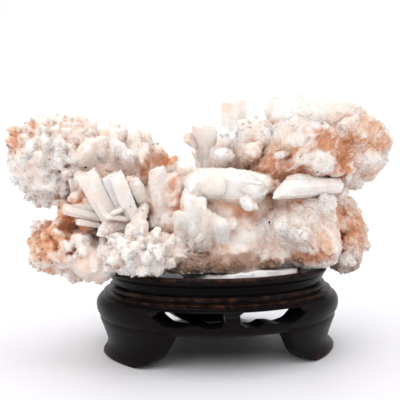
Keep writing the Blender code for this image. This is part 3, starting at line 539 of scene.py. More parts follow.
class WaveNoise:
    """Smooth noise from a sum of plane waves with random directions and phases.

    PITCH is the range of the waves' pitch, and RADIANS_A_BUMP how far a wave of pitch one turns
    over one bump.
    """

    PITCH = (0.6, 1.6)
    RADIANS_A_BUMP = 3.0

    def __init__(self, seed: int, size: float, waves: int = 28) -> None:
        """Draw the waves.

        Args:
            seed: random seed.
            size: typical size of a bump, in metres.
            waves: number of waves.
        """
        rng = np.random.default_rng(seed)
        ways = rng.normal(size=(waves, 3))
        ways /= np.linalg.norm(ways, axis=1)[:, None]
        self.vectors = ways * (rng.uniform(*self.PITCH, waves) / size * self.RADIANS_A_BUMP)[:, None]
        self.phases = rng.uniform(0.0, tau, waves)

    def at(self, points: np.ndarray) -> np.ndarray:
        """Noise at points: the waves' cosines added and scaled to a spread of about one.

        Args:
            points: positions in metres.

        Returns:
            One value a point, mostly between -2 and 2.
        """
        total = np.cos(points @ self.vectors.T + self.phases).sum(axis=1)
        return total / np.sqrt(0.5 * len(self.phases))


class StainAndShadeField:
    """Mineral colour masks and the painted grey shade at any point, from the list of patches.

    EDGE_COARSE and EDGE_FINE are how far the two noises push an edge, REACH is where a patch ends
    in half sizes, and the HAZE values are the level, swings and limit of the faint peach tone.
    """

    EDGE_COARSE = 0.22
    EDGE_FINE = 0.13
    REACH = 1.5
    HAZE = 0.2
    HAZE_BROAD = 0.15
    HAZE_FINE = 0.05
    HAZE_LIMIT = 0.55

    def __init__(self, patches: tuple) -> None:
        """Place the patches.

        Args:
            patches: the Patch entries.
        """
        self.patches = patches
        centres = np.array([(p.across, p.up, p.depth) for p in patches])
        self.centres = placed(centres)
        scale = (EYE_DISTANCE + centres[:, 2]) / EYE_DISTANCE
        halves = np.array([(p.half_across, p.half_deep, p.half_up) for p in patches])
        self.halves = halves * scale[:, None] * MM
        self.noise = WaveNoise(5, 0.006)
        self.fine = WaveNoise(6, 0.0022)
        self.broad = WaveNoise(8, 0.03)

    def at(self, points: np.ndarray) -> np.ndarray:
        """Masks for rust, peach, the painted grey shade and earth.

        Each patch gives strength times a smooth fall from its middle, with an edge made ragged by
        noise; the largest value of a kind counts. A faint broad peach tone is added everywhere,
        and white takes rust and peach away where it shows.

        Args:
            points: positions in metres.

        Returns:
            Array with four columns between 0 and 1.
        """
        masks = np.zeros((len(points), len(StainAndShade)))
        ragged = self.EDGE_COARSE * self.noise.at(points) + self.EDGE_FINE * self.fine.at(points)
        for patch, centre, half in zip(self.patches, self.centres, self.halves):
            near = np.linalg.norm((points - centre) / half, axis=1) + ragged
            value = patch.strength * np.clip(self.REACH - near, 0.0, 1.0)
            channel = patch.kind.value
            masks[:, channel] = np.maximum(masks[:, channel], value)
        haze = self.HAZE + self.HAZE_BROAD * self.broad.at(points) + self.HAZE_FINE * self.noise.at(points)
        peach, white = StainAndShade.PEACH.value, StainAndShade.WHITE.value
        masks[:, peach] = np.maximum(masks[:, peach], np.clip(haze, 0.0, self.HAZE_LIMIT))
        masks[:, :2] *= 1.0 - masks[:, white:]
        return masks[:, :4]


class FacetNoise:
    """Broken-plane relief: every point takes the tilted plane of the seed point nearest to it.

    SALTS is how many random numbers a seed point has: three for its place, three for its slope
    and one for its height. The other whole numbers stir the grid position into a random number.
    """

    SALTS = 7
    TILT = 1.7
    PRIMES = (73856093, 19349663, 83492791)
    SEED_STEP = 7919
    SALT_STEP = 104729
    STIR = 1274126177
    WORD = 0xFFFFFFFF
    LOW_BITS = 0xFFFFFF

    def __init__(self, seed: int, cell: float) -> None:
        """Keep the seed and the spacing.

        Args:
            seed: random seed.
            cell: spacing of the seed points, in metres.
        """
        self.seed = seed
        self.cell = cell

    def random(self, cells: np.ndarray, salt: int) -> np.ndarray:
        """Repeatable random numbers between 0 and 1 for whole-number grid positions.

        Args:
            cells: grid positions, one a row.
            salt: picks one of several independent numbers.

        Returns:
            One number a row.
        """
        first, second, third = (cells * np.array(self.PRIMES)).T
        mixed = first ^ second ^ third
        mixed = (mixed + self.seed * self.SEED_STEP + salt * self.SALT_STEP) & self.WORD
        mixed = ((mixed ^ (mixed >> 13)) * self.STIR) & self.WORD
        return ((mixed ^ (mixed >> 16)) & self.LOW_BITS) / float(self.LOW_BITS + 1)

    def at(self, points: np.ndarray, grain: tuple, stretch: float) -> np.ndarray:
        """Relief at points: the nearest seed's own height plus its slope times the way to it.

        Args:
            points: positions in metres.
            grain: direction along which the planes are longer.
            stretch: how many times longer.

        Returns:
            One value a point, mostly between -1 and 1.
        """
        axis = np.array(grain) / np.linalg.norm(grain)
        scaled = (points + np.outer(points @ axis, axis) * (1.0 / stretch - 1.0)) / self.cell
        base = np.floor(scaled).astype(np.int64)
        best = np.full(len(points), np.inf)
        value = np.zeros(len(points))
        for shift in product((-1, 0, 1), repeat=3):
            cells = base + np.array(shift)
            chance = np.column_stack([self.random(cells, k) for k in range(self.SALTS)])
            away = scaled - cells - chance[:, :3]
            dist = (away ** 2).sum(axis=1)
            slope = (away * (chance[:, 3:6] - 0.5)).sum(axis=1)
            height = (chance[:, 6] - 0.5) + self.TILT * slope
            near = dist < best
            value[near] = height[near]
            best[near] = dist[near]
        return value


class MeshParts:
    """Vertices and faces gathered from many small solids."""

    def __init__(self) -> None:
        """Start empty."""
        self.verts: list = []
        self.faces: list = []
        self.count = 0

    def add(self, verts: np.ndarray, faces: np.ndarray) -> None:
        """Append one block of geometry.

        Args:
            verts: positions in metres.
            faces: triangle corners counted from zero within the block.
        """
        self.verts.append(verts)
        self.faces.append(faces + self.count)
        self.count += len(verts)

    def mesh(self, name: str) -> bpy.types.Mesh:
        """Make the mesh.

        Args:
            name: mesh name.

        Returns:
            The mesh, its faces as given.
        """
        verts = np.concatenate(self.verts)
        faces = np.concatenate(self.faces)
        mesh = bpy.data.meshes.new(name)
        mesh.vertices.add(len(verts))
        mesh.vertices.foreach_set("co", verts.astype(np.float32).ravel())
        mesh.loops.add(3 * len(faces))
        mesh.loops.foreach_set("vertex_index", faces.astype(np.int32).ravel())
        mesh.polygons.add(len(faces))
        mesh.polygons.foreach_set("loop_start", np.arange(0, 3 * len(faces), 3, dtype=np.int32))
        mesh.update(calc_edges=True)
        return mesh


def vectors(items: bpy.types.bpy_prop_collection, key: str) -> np.ndarray:
    """Vectors kept by the items of a mesh, such as its vertices' places or its normals.

    Args:
        items: the collection.
        key: property that holds the vector.

    Returns:
        One vector a row.
    """
    flat = np.empty(3 * len(items), dtype=np.float32)
    items.foreach_get(key, flat)
    return flat.reshape(-1, 3).astype(float)


def move_vertices(mesh: bpy.types.Mesh, points: np.ndarray) -> None:
    """Give a mesh's vertices new places.

    Args:
        mesh: the mesh.
        points: positions in metres.
    """
    mesh.vertices.foreach_set("co", points.astype(np.float32).ravel())
    mesh.update()


def linked(name: str, data: bpy.types.ID) -> bpy.types.Object:
    """New object of the scene.

    Args:
        name: object name.
        data: its mesh, light or camera.

    Returns:
        The object.
    """
    obj = bpy.data.objects.new(name, data)
    bpy.context.scene.collection.objects.link(obj)
    return obj


def relaxed(mesh: bpy.types.Mesh, points: np.ndarray, rounds: int) -> np.ndarray:
    """Point values evened out over a mesh: each round takes the mean of the neighbours.

    Args:
        mesh: gives the edges.
        points: one row of values a vertex.
        rounds: how many times.

    Returns:
        The evened values.
    """
    edges = np.empty(2 * len(mesh.edges), dtype=np.int32)
    mesh.edges.foreach_get("vertices", edges)
    first, second = edges.reshape(-1, 2).T
    n = len(points)
    count = np.maximum(np.bincount(edges, minlength=n), 1)
    out = points.copy()
    for _ in range(rounds):
        columns = [np.bincount(first, weights=out[second, k], minlength=n)
                   + np.bincount(second, weights=out[first, k], minlength=n)
                   for k in range(out.shape[1])]
        out = np.column_stack(columns) / count[:, None]
    return out


def shown(name: str, mesh: bpy.types.Mesh, masks: np.ndarray, material: bpy.types.Material,
          sharp_deg: float) -> bpy.types.Object:
    """Object from a mesh, with its masks of mineral stain and painted shade, material and shading.

    Args:
        name: piece name.
        mesh: its mesh.
        masks: four masks a vertex: rust, peach, the painted grey shade and earth.
        material: its material.
        sharp_deg: angle over which edges stay sharp.

    Returns:
        The object, linked to the scene.
    """
    # the masks hold the mineral stains and the painted shade of the grey patches and the hollows
    layer = mesh.attributes.new("mineral", "FLOAT_COLOR", "POINT")
    layer.data.foreach_set("color", masks.astype(np.float32).ravel())
    mesh.shade_smooth()
    mesh.set_sharp_from_angle(angle=radians(sharp_deg))
    mesh.materials.clear()
    mesh.materials.append(material)
    mesh.name = name
    return linked(name, mesh)


@dataclass(frozen=True)
class Crystals:
    """Arrays describing many crystals: root, tip, width and thickness of each.

    TILT scales the spread of the side crystals' angles, ROOT_SPREAD is how far their roots lie
    from the main root in widths, and THICKNESS their least and greatest thickness in widths.
    """

    TILT = 0.6
    ROOT_SPREAD = 0.28
    THICKNESS = (0.8, 1.2)

    root: np.ndarray
    tip: np.ndarray
    width: np.ndarray
    thick: np.ndarray

    @staticmethod
    def listed(rows: tuple) -> "Crystals":
        """Crystals from the rows of a fan.

        Args:
            rows: the fan's table.

        Returns:
            The crystals in metres.
        """
        table = np.array(rows, dtype=float)
        return Crystals(placed(table[:, 0:3]), placed(table[:, 3:6]), table[:, 6] * MM, table[:, 7] * MM)

    @staticmethod
    def joined(groups: list) -> "Crystals":
        """Several sets put together.

        Args:
            groups: the sets.

        Returns:
            One set.
        """
        return Crystals(*[np.concatenate([getattr(g, k) for g in groups])
                          for k in ("root", "tip", "width", "thick")])

    def side_growth(self, fan: Fan, rng: np.random.Generator) -> "Crystals":
        """Smaller crystals that grow from the same roots at slightly other angles.

        Args:
            fan: the fan whose side growth values are used.
            rng: random generator.

        Returns:
            The side crystals.
        """
        n = len(self.width)
        k = fan.side_count
        idx = np.repeat(np.arange(n), k)
        axis = self.tip[idx] - self.root[idx]
        length = np.linalg.norm(axis, axis=1)[:, None]
        tilt = rng.normal(size=axis.shape) * fan.side_spread * self.TILT
        grown = axis / length + tilt
        grown /= np.linalg.norm(grown, axis=1)[:, None]
        reach = rng.uniform(*fan.side_length, len(idx))[:, None]
        offset = rng.normal(size=axis.shape) * (self.width[idx] * self.ROOT_SPREAD)[:, None]
        root = self.root[idx] + offset
        width = self.width[idx] * rng.uniform(*fan.side_width, len(idx))
        thick = width * rng.uniform(*self.THICKNESS, len(idx))
        tip = root + grown * length * reach
        low, high = self.tip.min(axis=0) - TIP_SLACK, self.tip.max(axis=0) + TIP_SLACK
        inside = ((tip > low) & (tip < high)).all(axis=1)
        return Crystals(root[inside], tip[inside], width[inside], thick[inside])

    def grown_round(self, fan: Fan, rng: np.random.Generator) -> "Crystals":
        """The crystals together with their side growth.

        Args:
            fan: the fan whose side growth values are used.
            rng: random generator.

        Returns:
            One set.
        """
        return Crystals.joined([self, self.side_growth(fan, rng)])


class CrystalMesher:
    """Turns crystal arrays into prisms with bevelled, fluted sides and worn or chiselled ends.

    END_START and END_SHARE are where the end begins along the levels and how much of them it
    takes, CAP its greatest length in lengths and in widths. SPIN, SWELL and TOOTH are the ranges
    of the random turn, of a side's fullness and of a corner's tooth. A crystal NEARLY_PARALLEL to
    the line of sight takes its sideways direction from another axis.
    """

    END_START = 0.8
    END_SHARE = 0.2
    CAP = (0.5, 0.9)
    SPIN = (-0.5, 0.5)
    SWELL = (0.86, 1.1)
    TOOTH = (-1.0, 0.6)
    NEARLY_PARALLEL = 0.35

    def __init__(self, shape: CrystalShape, seed: int) -> None:
        """Keep the shape and a random generator.

        Args:
            shape: outline and end.
            seed: random seed.
        """
        self.shape = shape
        self.rng = np.random.default_rng(seed)

    @staticmethod
    def frame(crystals: Crystals) -> tuple:
        """Unit vectors along, across and through each crystal, and its length.

        Args:
            crystals: the crystals.

        Returns:
            along, side, front and length arrays.
        """
        axis = crystals.tip - crystals.root
        length = np.linalg.norm(axis, axis=1)
        along = axis / length[:, None]
        side = np.cross(along, np.array([0.0, 1.0, 0.0]))
        weak = np.linalg.norm(side, axis=1) < CrystalMesher.NEARLY_PARALLEL
        side[weak] = np.cross(along[weak], np.array([0.3, 0.0, 1.0]))
        side /= np.linalg.norm(side, axis=1)[:, None]
        return along, side, np.cross(side, along), length

    def corners(self) -> np.ndarray:
        """Angles of the outline's points: one a side, or two where the edge is bevelled.

        Returns:
            Angles in radians.
        """
        angles = np.arange(self.shape.sides) * tau / self.shape.sides
        if self.shape.cut == 0.0:
            return angles
        return np.repeat(angles, 2) + np.tile([-self.shape.cut, self.shape.cut], self.shape.sides)

    def add(self, parts: MeshParts, crystals: Crystals) -> None:
        """Append the crystals to a mesh.

        The surface is a grid of rings along each crystal. A ring is the outline scaled by its
        level's size and by ridges that run the whole length. Near the end each point is also
        lifted by a random slope and by its own tooth, so the crystal ends in an oblique, uneven
        face.

        Args:
            parts: the mesh being gathered.
            crystals: what to add.
        """
        rng, shape = self.rng, self.shape
        n = len(crystals.width)
        along, side, front, length = self.frame(crystals)
        corner = self.corners()
        m = len(corner)
        spin = rng.uniform(*self.SPIN, n)[:, None]
        swell = np.repeat(rng.uniform(*self.SWELL, (n, shape.sides)), m // shape.sides, axis=1)
        ridge = swell * (1.0 + rng.uniform(-shape.ridge, shape.ridge, (n, m)))
        slope = rng.uniform(-shape.slope, shape.slope, (n, 2))
        if shape.slant:
            slope = np.tile(shape.slant, (n, 1))
        tooth = rng.uniform(*self.TOOTH, (n, m)) * (shape.tooth * crystals.width)[:, None]
        cap = np.minimum(self.CAP[0] * length, self.CAP[1] * crystals.width)
        rings = []
        for level, scale in shape.levels:
            near_end = np.clip((level - self.END_START) / self.END_SHARE, 0.0, 1.0)
            rise = length - (1.0 - level) / self.END_SHARE * cap
            if level < self.END_START:
                rise = level * (length - cap) / self.END_START
            u = 0.5 * crystals.width[:, None] * scale * ridge * np.cos(corner + spin)
            v = 0.5 * crystals.thick[:, None] * scale * ridge * np.sin(corner + spin)
            lift = near_end * (slope[:, :1] * u + slope[:, 1:] * v + tooth)
            centre = crystals.root[:, None, :] + along[:, None, :] * (rise[:, None] + lift)[..., None]
            rings.append(centre + side[:, None, :] * u[..., None] + front[:, None, :] * v[..., None])
        grid = np.stack(rings, axis=1)
        tips = grid[:, -1].mean(axis=1) + along * (shape.peak * crystals.width)[:, None]
        roots = grid[:, 0].mean(axis=1)
        verts = np.concatenate([grid.reshape(n, -1, 3), tips[:, None], roots[:, None]], axis=1)
        per = verts.shape[1]
        index = self.topology(len(shape.levels), m)[None] + (np.arange(n) * per)[:, None, None]
        parts.add(verts.reshape(-1, 3), index.reshape(-1, 3))

    @staticmethod
    def topology(levels: int, m: int) -> np.ndarray:
        """Triangles of one crystal: bands between rings, then a fan over each end.

        Args:
            levels: number of rings.
            m: vertices a ring.

        Returns:
            Triangle corners.
        """
        i = np.arange(m)
        j = (i + 1) % m
        faces = []
        for k in range(levels - 1):
            a, b = k * m + i, k * m + j
            c, d = a + m, b + m
            faces += [np.column_stack([a, b, d]), np.column_stack([a, d, c])]
        top = (levels - 1) * m
        tip, root = levels * m, levels * m + 1
        faces.append(np.column_stack([top + i, top + j, np.full(m, tip)]))
        faces.append(np.column_stack([j, i, np.full(m, root)]))
        return np.concatenate(faces)


def unit_ball(subdivisions: int) -> tuple:
    """Points and triangles of an evenly divided ball of radius one.

    Args:
        subdivisions: how often the icosahedron is divided.

    Returns:
        Vertex rows and triangle rows.
    """
    ball = bmesh.new()
    bmesh.ops.create_icosphere(ball, subdivisions=subdivisions, radius=1.0)
    ways = np.array([v.co[:] for v in ball.verts])
    faces = np.array([[v.index for v in f.verts] for f in ball.faces])
    ball.free()
    return ways, faces


def back_crystals(fan: BackFan, rng: np.random.Generator) -> Crystals:
    """Crystals spread by a golden-angle spiral over the half ellipsoid of a back fan.

    Args:
        fan: the fan.
        rng: random generator.

    Returns:
        Its crystals.
    """
    facing = np.array(fan.facing) / np.linalg.norm(fan.facing)
    first = np.cross(facing, np.array([1.0, 0.0, 0.0]))
    first /= np.linalg.norm(first)
    second = np.cross(facing, first)
    k = np.arange(fan.count)
    z = 1.0 - BACK_SPAN * (k + 0.5) / fan.count
    r = np.sqrt(1.0 - z * z)
    a = tau * GOLDEN_TURN * k + rng.uniform(-BACK_SHAKE, BACK_SHAKE, fan.count)
    ways = first * (r * np.cos(a))[:, None] + second * (r * np.sin(a))[:, None] + facing * z[:, None]
    ends = ways * np.array(fan.reach, dtype=float) * rng.uniform(*BACK_REACH, fan.count)[:, None]
    centre = np.array(fan.centre, dtype=float)
    width = rng.uniform(*fan.widths, fan.count) * MM
    return Crystals(leaned(centre + BACK_ROOT * ends), leaned(centre + ends), width, width * BACK_THICKNESS)


class LobeSurface:
    """Fuses a lobe's bodies and crystals into one skin and gives it crystalline relief.

    FULLNESS, BULGE and DIMPLE are a body's size and the swings of its two noises. HOLLOW_ROUNDS
    and HOLLOW_MM say how an even shape is made to measure hollows against and how deep one is.
    BLOCKS and CHIPS are the shares of the two sizes of broken planes. The CREST values are how
    much of a stain a crest loses; HOLLOW_RUST is how much rust a stained hollow gains, and the
    peach value of a hollow how much peach every hollow gains as painted shade.
    """

    BALL = unit_ball(4)
    FULLNESS = 0.95
    BULGE = 0.045
    DIMPLE = 0.018
    HOLLOW_ROUNDS = 14
    HOLLOW_MM = 1.1
    BLOCKS = 0.6
    CHIPS = 0.55
    CREST_RUST = 0.6
    CREST_PEACH = 0.5
    HOLLOW_RUST = 0.2
    # peach added to every hollow: painted shade in the creases
    HOLLOW_SHADE_PEACH = 0.3
    SHARP_DEG = 32.0
    BACK_GROWTH = Fan((), 4, 0.28, (0.7, 0.97), (0.35, 0.7))

    def __init__(self, stains_and_shade: StainAndShadeField, limits: tuple) -> None:
        """Keep the stains and painted shade, the box and the relief noises.

        Args:
            stains_and_shade: mineral colour masks and the painted grey shade.
            limits: lowest and highest corner that the skin keeps to.
        """
        self.stains_and_shade = stains_and_shade
        self.low, self.high = limits
        self.coarse = WaveNoise(21, 0.016)
        self.fine = WaveNoise(22, 0.005)
        self.blocks = FacetNoise(31, 0.0048)
        self.chips = FacetNoise(32, 0.0021)

    def body(self, parts: MeshParts, row: tuple) -> None:
        """Append one rounded body: an ellipsoid pushed in and out by noise.

        Args:
            parts: the mesh being gathered.
            row: across, up, depth and half sizes across, up and deep.
        """
        ways, faces = self.BALL
        centre = placed(np.array(row[:3]))[0]
        half = np.array([row[3], row[5], row[4]]) * MM
        base = centre + ways * half
        push = self.FULLNESS + self.BULGE * self.coarse.at(base) + self.DIMPLE * self.fine.at(base)
        parts.add(centre + ways * half * push[:, None], faces)

    def gathered(self, lobe: Lobe, seed: int) -> MeshParts:
        """All closed solids of a lobe.

        Args:
            lobe: the lobe.
            seed: random seed.

        Returns:
            The solids, still overlapping.
        """
        rng = np.random.default_rng(seed)
        parts = MeshParts()
        for row in lobe.lumps:
            self.body(parts, row)
        mesher = CrystalMesher(ROUGH, seed + 50)
        for fan in lobe.fans:
            mesher.add(parts, Crystals.listed(fan.rows).grown_round(fan, rng))
        for index in lobe.backs:
            mesher.add(parts, back_crystals(BACK_FANS[index], rng).grown_round(self.BACK_GROWTH, rng))
        return parts

    @staticmethod
    def fused(mesh: bpy.types.Mesh, voxel: float) -> bpy.types.Mesh:
        """One skin over all the solids in a mesh.

        Args:
            mesh: overlapping closed solids.
            voxel: grid size in metres.

        Returns:
            The skin.
        """
        rough = linked("rough", mesh)
        remesh = rough.modifiers.new("skin", "REMESH")
        remesh.mode = "VOXEL"
        remesh.voxel_size = voxel
        graph = bpy.context.evaluated_depsgraph_get()
        skin = bpy.data.meshes.new_from_object(rough.evaluated_get(graph))
        bpy.data.objects.remove(rough, do_unlink=True)
        bpy.data.meshes.remove(mesh)
        return skin

    def held_in(self, points: np.ndarray) -> np.ndarray:
        """Points kept inside the box, and lifted out of the room of the stand's rim and the tissue.

        Args:
            points: positions in metres.

        Returns:
            The moved points.
        """
        out = np.clip(points, self.low, self.high)
        radius = np.hypot(out[:, 0] - AXIS[0] * MM, out[:, 1] - AXIS[1] * MM)
        inside = (radius < REST_R * MM) & (out[:, 2] < REST_Z * MM)
        out[inside, 2] = REST_Z * MM
        return out

    def masks(self, mesh: bpy.types.Mesh, points: np.ndarray) -> np.ndarray:
        """Masks of a skin: the stains and the painted grey shade, stains stronger in hollows and weaker on
        crests, and peach in every hollow as painted shade.

        A hollow's depth is how far the surface lies under its own evened shape.

        Args:
            mesh: the skin.
            points: its vertices.

        Returns:
            Four masks a vertex.
        """
        normals = vectors(mesh.vertex_normals, "vector")
        even = relaxed(mesh, points, self.HOLLOW_ROUNDS)
        deep = ((even - points) * normals).sum(axis=1) / (self.HOLLOW_MM * MM)
        hollow = np.clip(deep, 0.0, 1.0)
        crest = np.clip(-deep, 0.0, 1.0)
        masks = self.stains_and_shade.at(points)
        rust, peach = masks[:, StainAndShade.RUST.value].copy(), masks[:, StainAndShade.PEACH.value].copy()
        rust_gain = self.HOLLOW_RUST * hollow * (peach + rust)
        masks[:, StainAndShade.RUST.value] = rust * (1.0 - self.CREST_RUST * crest) + rust_gain
        # every hollow also takes peach: painted shade
        masks[:, StainAndShade.PEACH.value] = peach * (1.0 - self.CREST_PEACH * crest) + self.HOLLOW_SHADE_PEACH * hollow
        return np.clip(masks, 0.0, 1.0)

    def build(self, lobe: Lobe, seed: int, material: bpy.types.Material) -> bpy.types.Object:
        """Fuse, roughen and colour one lobe.

        The relief moves each vertex along its normal by two sizes of broken planes.

        Args:
            lobe: the lobe.
            seed: random seed.
            material: its material.

        Returns:
            The piece.
        """
        mesh = self.fused(self.gathered(lobe, seed).mesh(lobe.name), lobe.voxel * MM)
        points = relaxed(mesh, vectors(mesh.vertices, "co"), lobe.soften)
        move_vertices(mesh, points)
        along = (lobe.grain, lobe.grain_stretch)
        relief = self.BLOCKS * self.blocks.at(points, *along) + self.CHIPS * self.chips.at(points, *along)
        push = vectors(mesh.vertex_normals, "vector") * (lobe.facet * relief * MM)[:, None]
        points = self.held_in(points + push)
        move_vertices(mesh, points)
        return shown(f"lobe_{lobe.name}", mesh, self.masks(mesh, points), material, self.SHARP_DEG)


class NodeKit:
    """Small helper that builds node trees by name."""

    def __init__(self, tree: bpy.types.NodeTree) -> None:
        """Keep the tree.

        Args:
            tree: tree to fill.
        """
        self.tree = tree

    def node(self, kind: str, **values: object) -> bpy.types.Node:
        """Add a node and set its properties.

        Args:
            kind: node type name.
            values: properties, or sockets given as in_Name with spaces as underscores.

        Returns:
            The node.
        """
        made = self.tree.nodes.new(kind)
        for key, value in values.items():
            if key.startswith("in_"):
                made.inputs[key[3:].replace("_", " ")].default_value = value
            else:
                setattr(made, key, value)
        return made

    def link(self, source: bpy.types.NodeSocket, target: bpy.types.NodeSocket) -> None:
        """Join two sockets.

        Args:
            source: output socket.
            target: input socket.
        """
        self.tree.links.new(source, target)

    def texture(self, kind: str, place: bpy.types.NodeSocket, **values: object) -> bpy.types.Node:
        """Add a texture or mapping node that reads a position.

        Args:
            kind: node type name.
            place: socket of the position.
            values: as for node.

        Returns:
            The node.
        """
        made = self.node(kind, **values)
        self.link(place, made.inputs["Vector"])
        return made

    def bump(self, height: bpy.types.NodeSocket, strength: float, distance: float) -> bpy.types.Node:
        """Add a bump node.

        Args:
            height: socket of the height.
            strength: how strongly it tilts the normal.
            distance: height of one unit, in metres.

        Returns:
            The node.
        """
        made = self.node("ShaderNodeBump", in_Strength=strength, in_Distance=distance)
        self.link(height, made.inputs["Height"])
        return made

    def put(self, value: object, socket: bpy.types.NodeSocket) -> None:
        """Feed an input from a socket, or set it to a constant.

        Args:
            value: socket or constant.
            socket: the input.
        """
        if isinstance(value, bpy.types.NodeSocket):
            self.link(value, socket)
        else:
            socket.default_value = value

    def mix(self, first: object, second: object, factor: object) -> bpy.types.NodeSocket:
        """Colour mix of two colours or sockets.

        Args:
            first: colour or socket at factor 0.
            second: colour or socket at factor 1.
            factor: number or socket.

        Returns:
            The mixed colour.
        """
        made = self.node("ShaderNodeMix", data_type="RGBA")
        for value, slot in ((first, 6), (second, 7), (factor, 0)):
            self.put(value, made.inputs[slot])
        return made.outputs[2]

    def math(self, operation: str, first: object, second: object = 0.0) -> bpy.types.NodeSocket:
        """Arithmetic on numbers or sockets.

        Args:
            operation: name of the operation.
            first: number or socket.
            second: number or socket.

        Returns:
            The result.
        """
        made = self.node("ShaderNodeMath", operation=operation)
        for slot, value in enumerate((first, second)):
            self.put(value, made.inputs[slot])
        return made.outputs[0]

    def ramp(self, value: bpy.types.NodeSocket, low: float, high: float) -> bpy.types.NodeSocket:
        """Smooth step from 0 at low to 1 at high.

        Args:
            value: input.
            low: where it starts.
            high: where it ends.

        Returns:
            The stepped value.
        """
        made = self.node("ShaderNodeMapRange", interpolation_type="SMOOTHSTEP")
        self.link(value, made.inputs[0])
        made.inputs[1].default_value = low
        made.inputs[2].default_value = high
        return made.outputs[0]


class Materials:
    """All materials, with the node groups they share.

    CELLS are the scales of the two sizes of crystal faces and their shares of the tilt. The
    colours are linear red, green, blue and alpha.
    """

    CELLS = ((330.0, 1.0), (800.0, 0.8))
    CREAM = (0.925, 0.795, 0.72, 1)
    MILK = (0.965, 0.93, 0.905, 1)
    # painted shade: the warm grey laid on crystals in shadow
    PAINTED_SHADE = (0.68, 0.57, 0.53, 1)
    PEACH = (0.86, 0.54, 0.36, 1)
    RUST = (0.78, 0.36, 0.17, 1)
    DARK_RUST = (0.55, 0.18, 0.06, 1)
    EARTH = (0.36, 0.21, 0.14, 1)
    INCLUSION = (0.035, 0.018, 0.012, 1)
    LACQUER = (0.0045, 0.0033, 0.004, 1)
    RUBBED = (0.07, 0.028, 0.015, 1)
    PAPER = (0.93, 0.93, 0.95, 1)
    FLOOR = (0.78, 0.78, 0.81, 1)

    def __init__(self) -> None:
        """Build the shared groups once."""
        self.tint = self.tint_group()
        self.facets = self.facet_group()

    @staticmethod
    def started(name: str, values: dict) -> tuple:
        """New material with constants set on its shader's sockets.

        Args:
            name: material name.
            values: constant of each named socket.

        Returns:
            The material, a node kit for its tree, its shader and the object coordinates.
        """
        mat = bpy.data.materials.new(name)
        mat.use_nodes = True
        kit = NodeKit(mat.node_tree)
        shader = mat.node_tree.nodes["Principled BSDF"]
        for socket, value in values.items():
            shader.inputs[socket].default_value = value
        return mat, kit, shader, kit.node("ShaderNodeTexCoord").outputs["Object"]

    @staticmethod
    def group(name: str, inputs: dict, outputs: dict) -> tuple:
        """New shader group with named sockets.

        Args:
            name: group name.
            inputs: kind of each input.
            outputs: kind of each output.

        Returns:
            The tree, a node kit for it, its inputs and its outputs.
        """
        tree = bpy.data.node_groups.new(name, "ShaderNodeTree")
        for way, sockets in (("INPUT", inputs), ("OUTPUT", outputs)):
            for label, kind in sockets.items():
                tree.interface.new_socket(label, in_out=way, socket_type=f"NodeSocket{kind}")
        kit = NodeKit(tree)
        return tree, kit, kit.node("NodeGroupInput").outputs, kit.node("NodeGroupOutput").inputs

    @staticmethod
    def facet_group() -> bpy.types.NodeTree:
        """Group that tilts the normal by a random amount in each cell, as small crystal faces do.

        Returns:
            The group.
        """
        sockets = {"Position": "Vector", "Normal": "Vector", "Strength": "Float"}
        tree, kit, inlet, outlet = Materials.group("CrystalFacets", sockets, {"Normal": "Vector"})
        total = inlet["Normal"]
        for scale, share in Materials.CELLS:
            cells = kit.texture("ShaderNodeTexVoronoi", inlet["Position"], in_Scale=scale)
            centred = kit.node("ShaderNodeVectorMath", operation="SUBTRACT")
            kit.link(cells.outputs["Color"], centred.inputs[0])
            centred.inputs[1].default_value = (0.5, 0.5, 0.5)
            scaled = kit.node("ShaderNodeVectorMath", operation="SCALE")
            kit.link(centred.outputs[0], scaled.inputs[0])
            kit.link(kit.math("MULTIPLY", inlet["Strength"], 2.0 * share), scaled.inputs["Scale"])
            added = kit.node("ShaderNodeVectorMath", operation="ADD")
            kit.link(total, added.inputs[0])
            kit.link(scaled.outputs[0], added.inputs[1])
            total = added.outputs[0]
        unit = kit.node("ShaderNodeVectorMath", operation="NORMALIZE")
        kit.link(total, unit.inputs[0])
        kit.link(unit.outputs[0], outlet["Normal"])
        return tree

    @staticmethod
    def tint_group() -> bpy.types.NodeTree:
        """Group that turns the mineral masks and the painted grey shade into a colour.

        Returns:
            The group.
        """
        sockets = {"Masks": "Color", "Earth": "Float", "Position": "Vector"}
        tree, kit, inlet, outlet = Materials.group("AragoniteTint", sockets, {"Color": "Color"})
        split = kit.node("ShaderNodeSeparateColor")
        kit.link(inlet["Masks"], split.inputs[0])
        rust_mask, peach_mask, painted_shade_mask = split.outputs
        cloud = kit.texture("ShaderNodeTexNoise", inlet["Position"],
                            in_Scale=110.0, in_Detail=3.0, in_Roughness=0.5).outputs[0]
        fleck = kit.texture("ShaderNodeTexNoise", inlet["Position"],
                            in_Scale=900.0, in_Detail=3.0, in_Roughness=0.7).outputs[0]
        ripple = kit.math("ADD", kit.math("MULTIPLY", cloud, 0.7), kit.math("MULTIPLY", fleck, 0.3))
        ripple = kit.math("SUBTRACT", ripple, 0.5)

        def broken(mask: bpy.types.NodeSocket) -> bpy.types.NodeSocket:
            """Mask with a ragged, cloudy edge."""
            swing = kit.math("MULTIPLY", ripple, kit.math("ADD", mask, 0.25))
            return kit.ramp(kit.math("ADD", mask, swing), 0.0, 1.0)

        base = kit.mix(Materials.CREAM, Materials.MILK, kit.ramp(cloud, 0.32, 0.66))
        # painted shade: grey laid where its mask marks crystals in shadow
        shaded = kit.mix(base, Materials.PAINTED_SHADE, broken(painted_shade_mask))
        peach = kit.mix(shaded, Materials.PEACH, broken(peach_mask))
        rust_tone = kit.mix(Materials.RUST, Materials.DARK_RUST, kit.ramp(fleck, 0.3, 0.7))
        frost = kit.math("MULTIPLY", kit.ramp(fleck, 0.5, 0.68), 0.55)
        rust = kit.mix(peach, kit.mix(rust_tone, peach, frost), broken(rust_mask))
        kit.link(kit.mix(rust, Materials.EARTH, broken(inlet["Earth"])), outlet["Color"])
        return tree

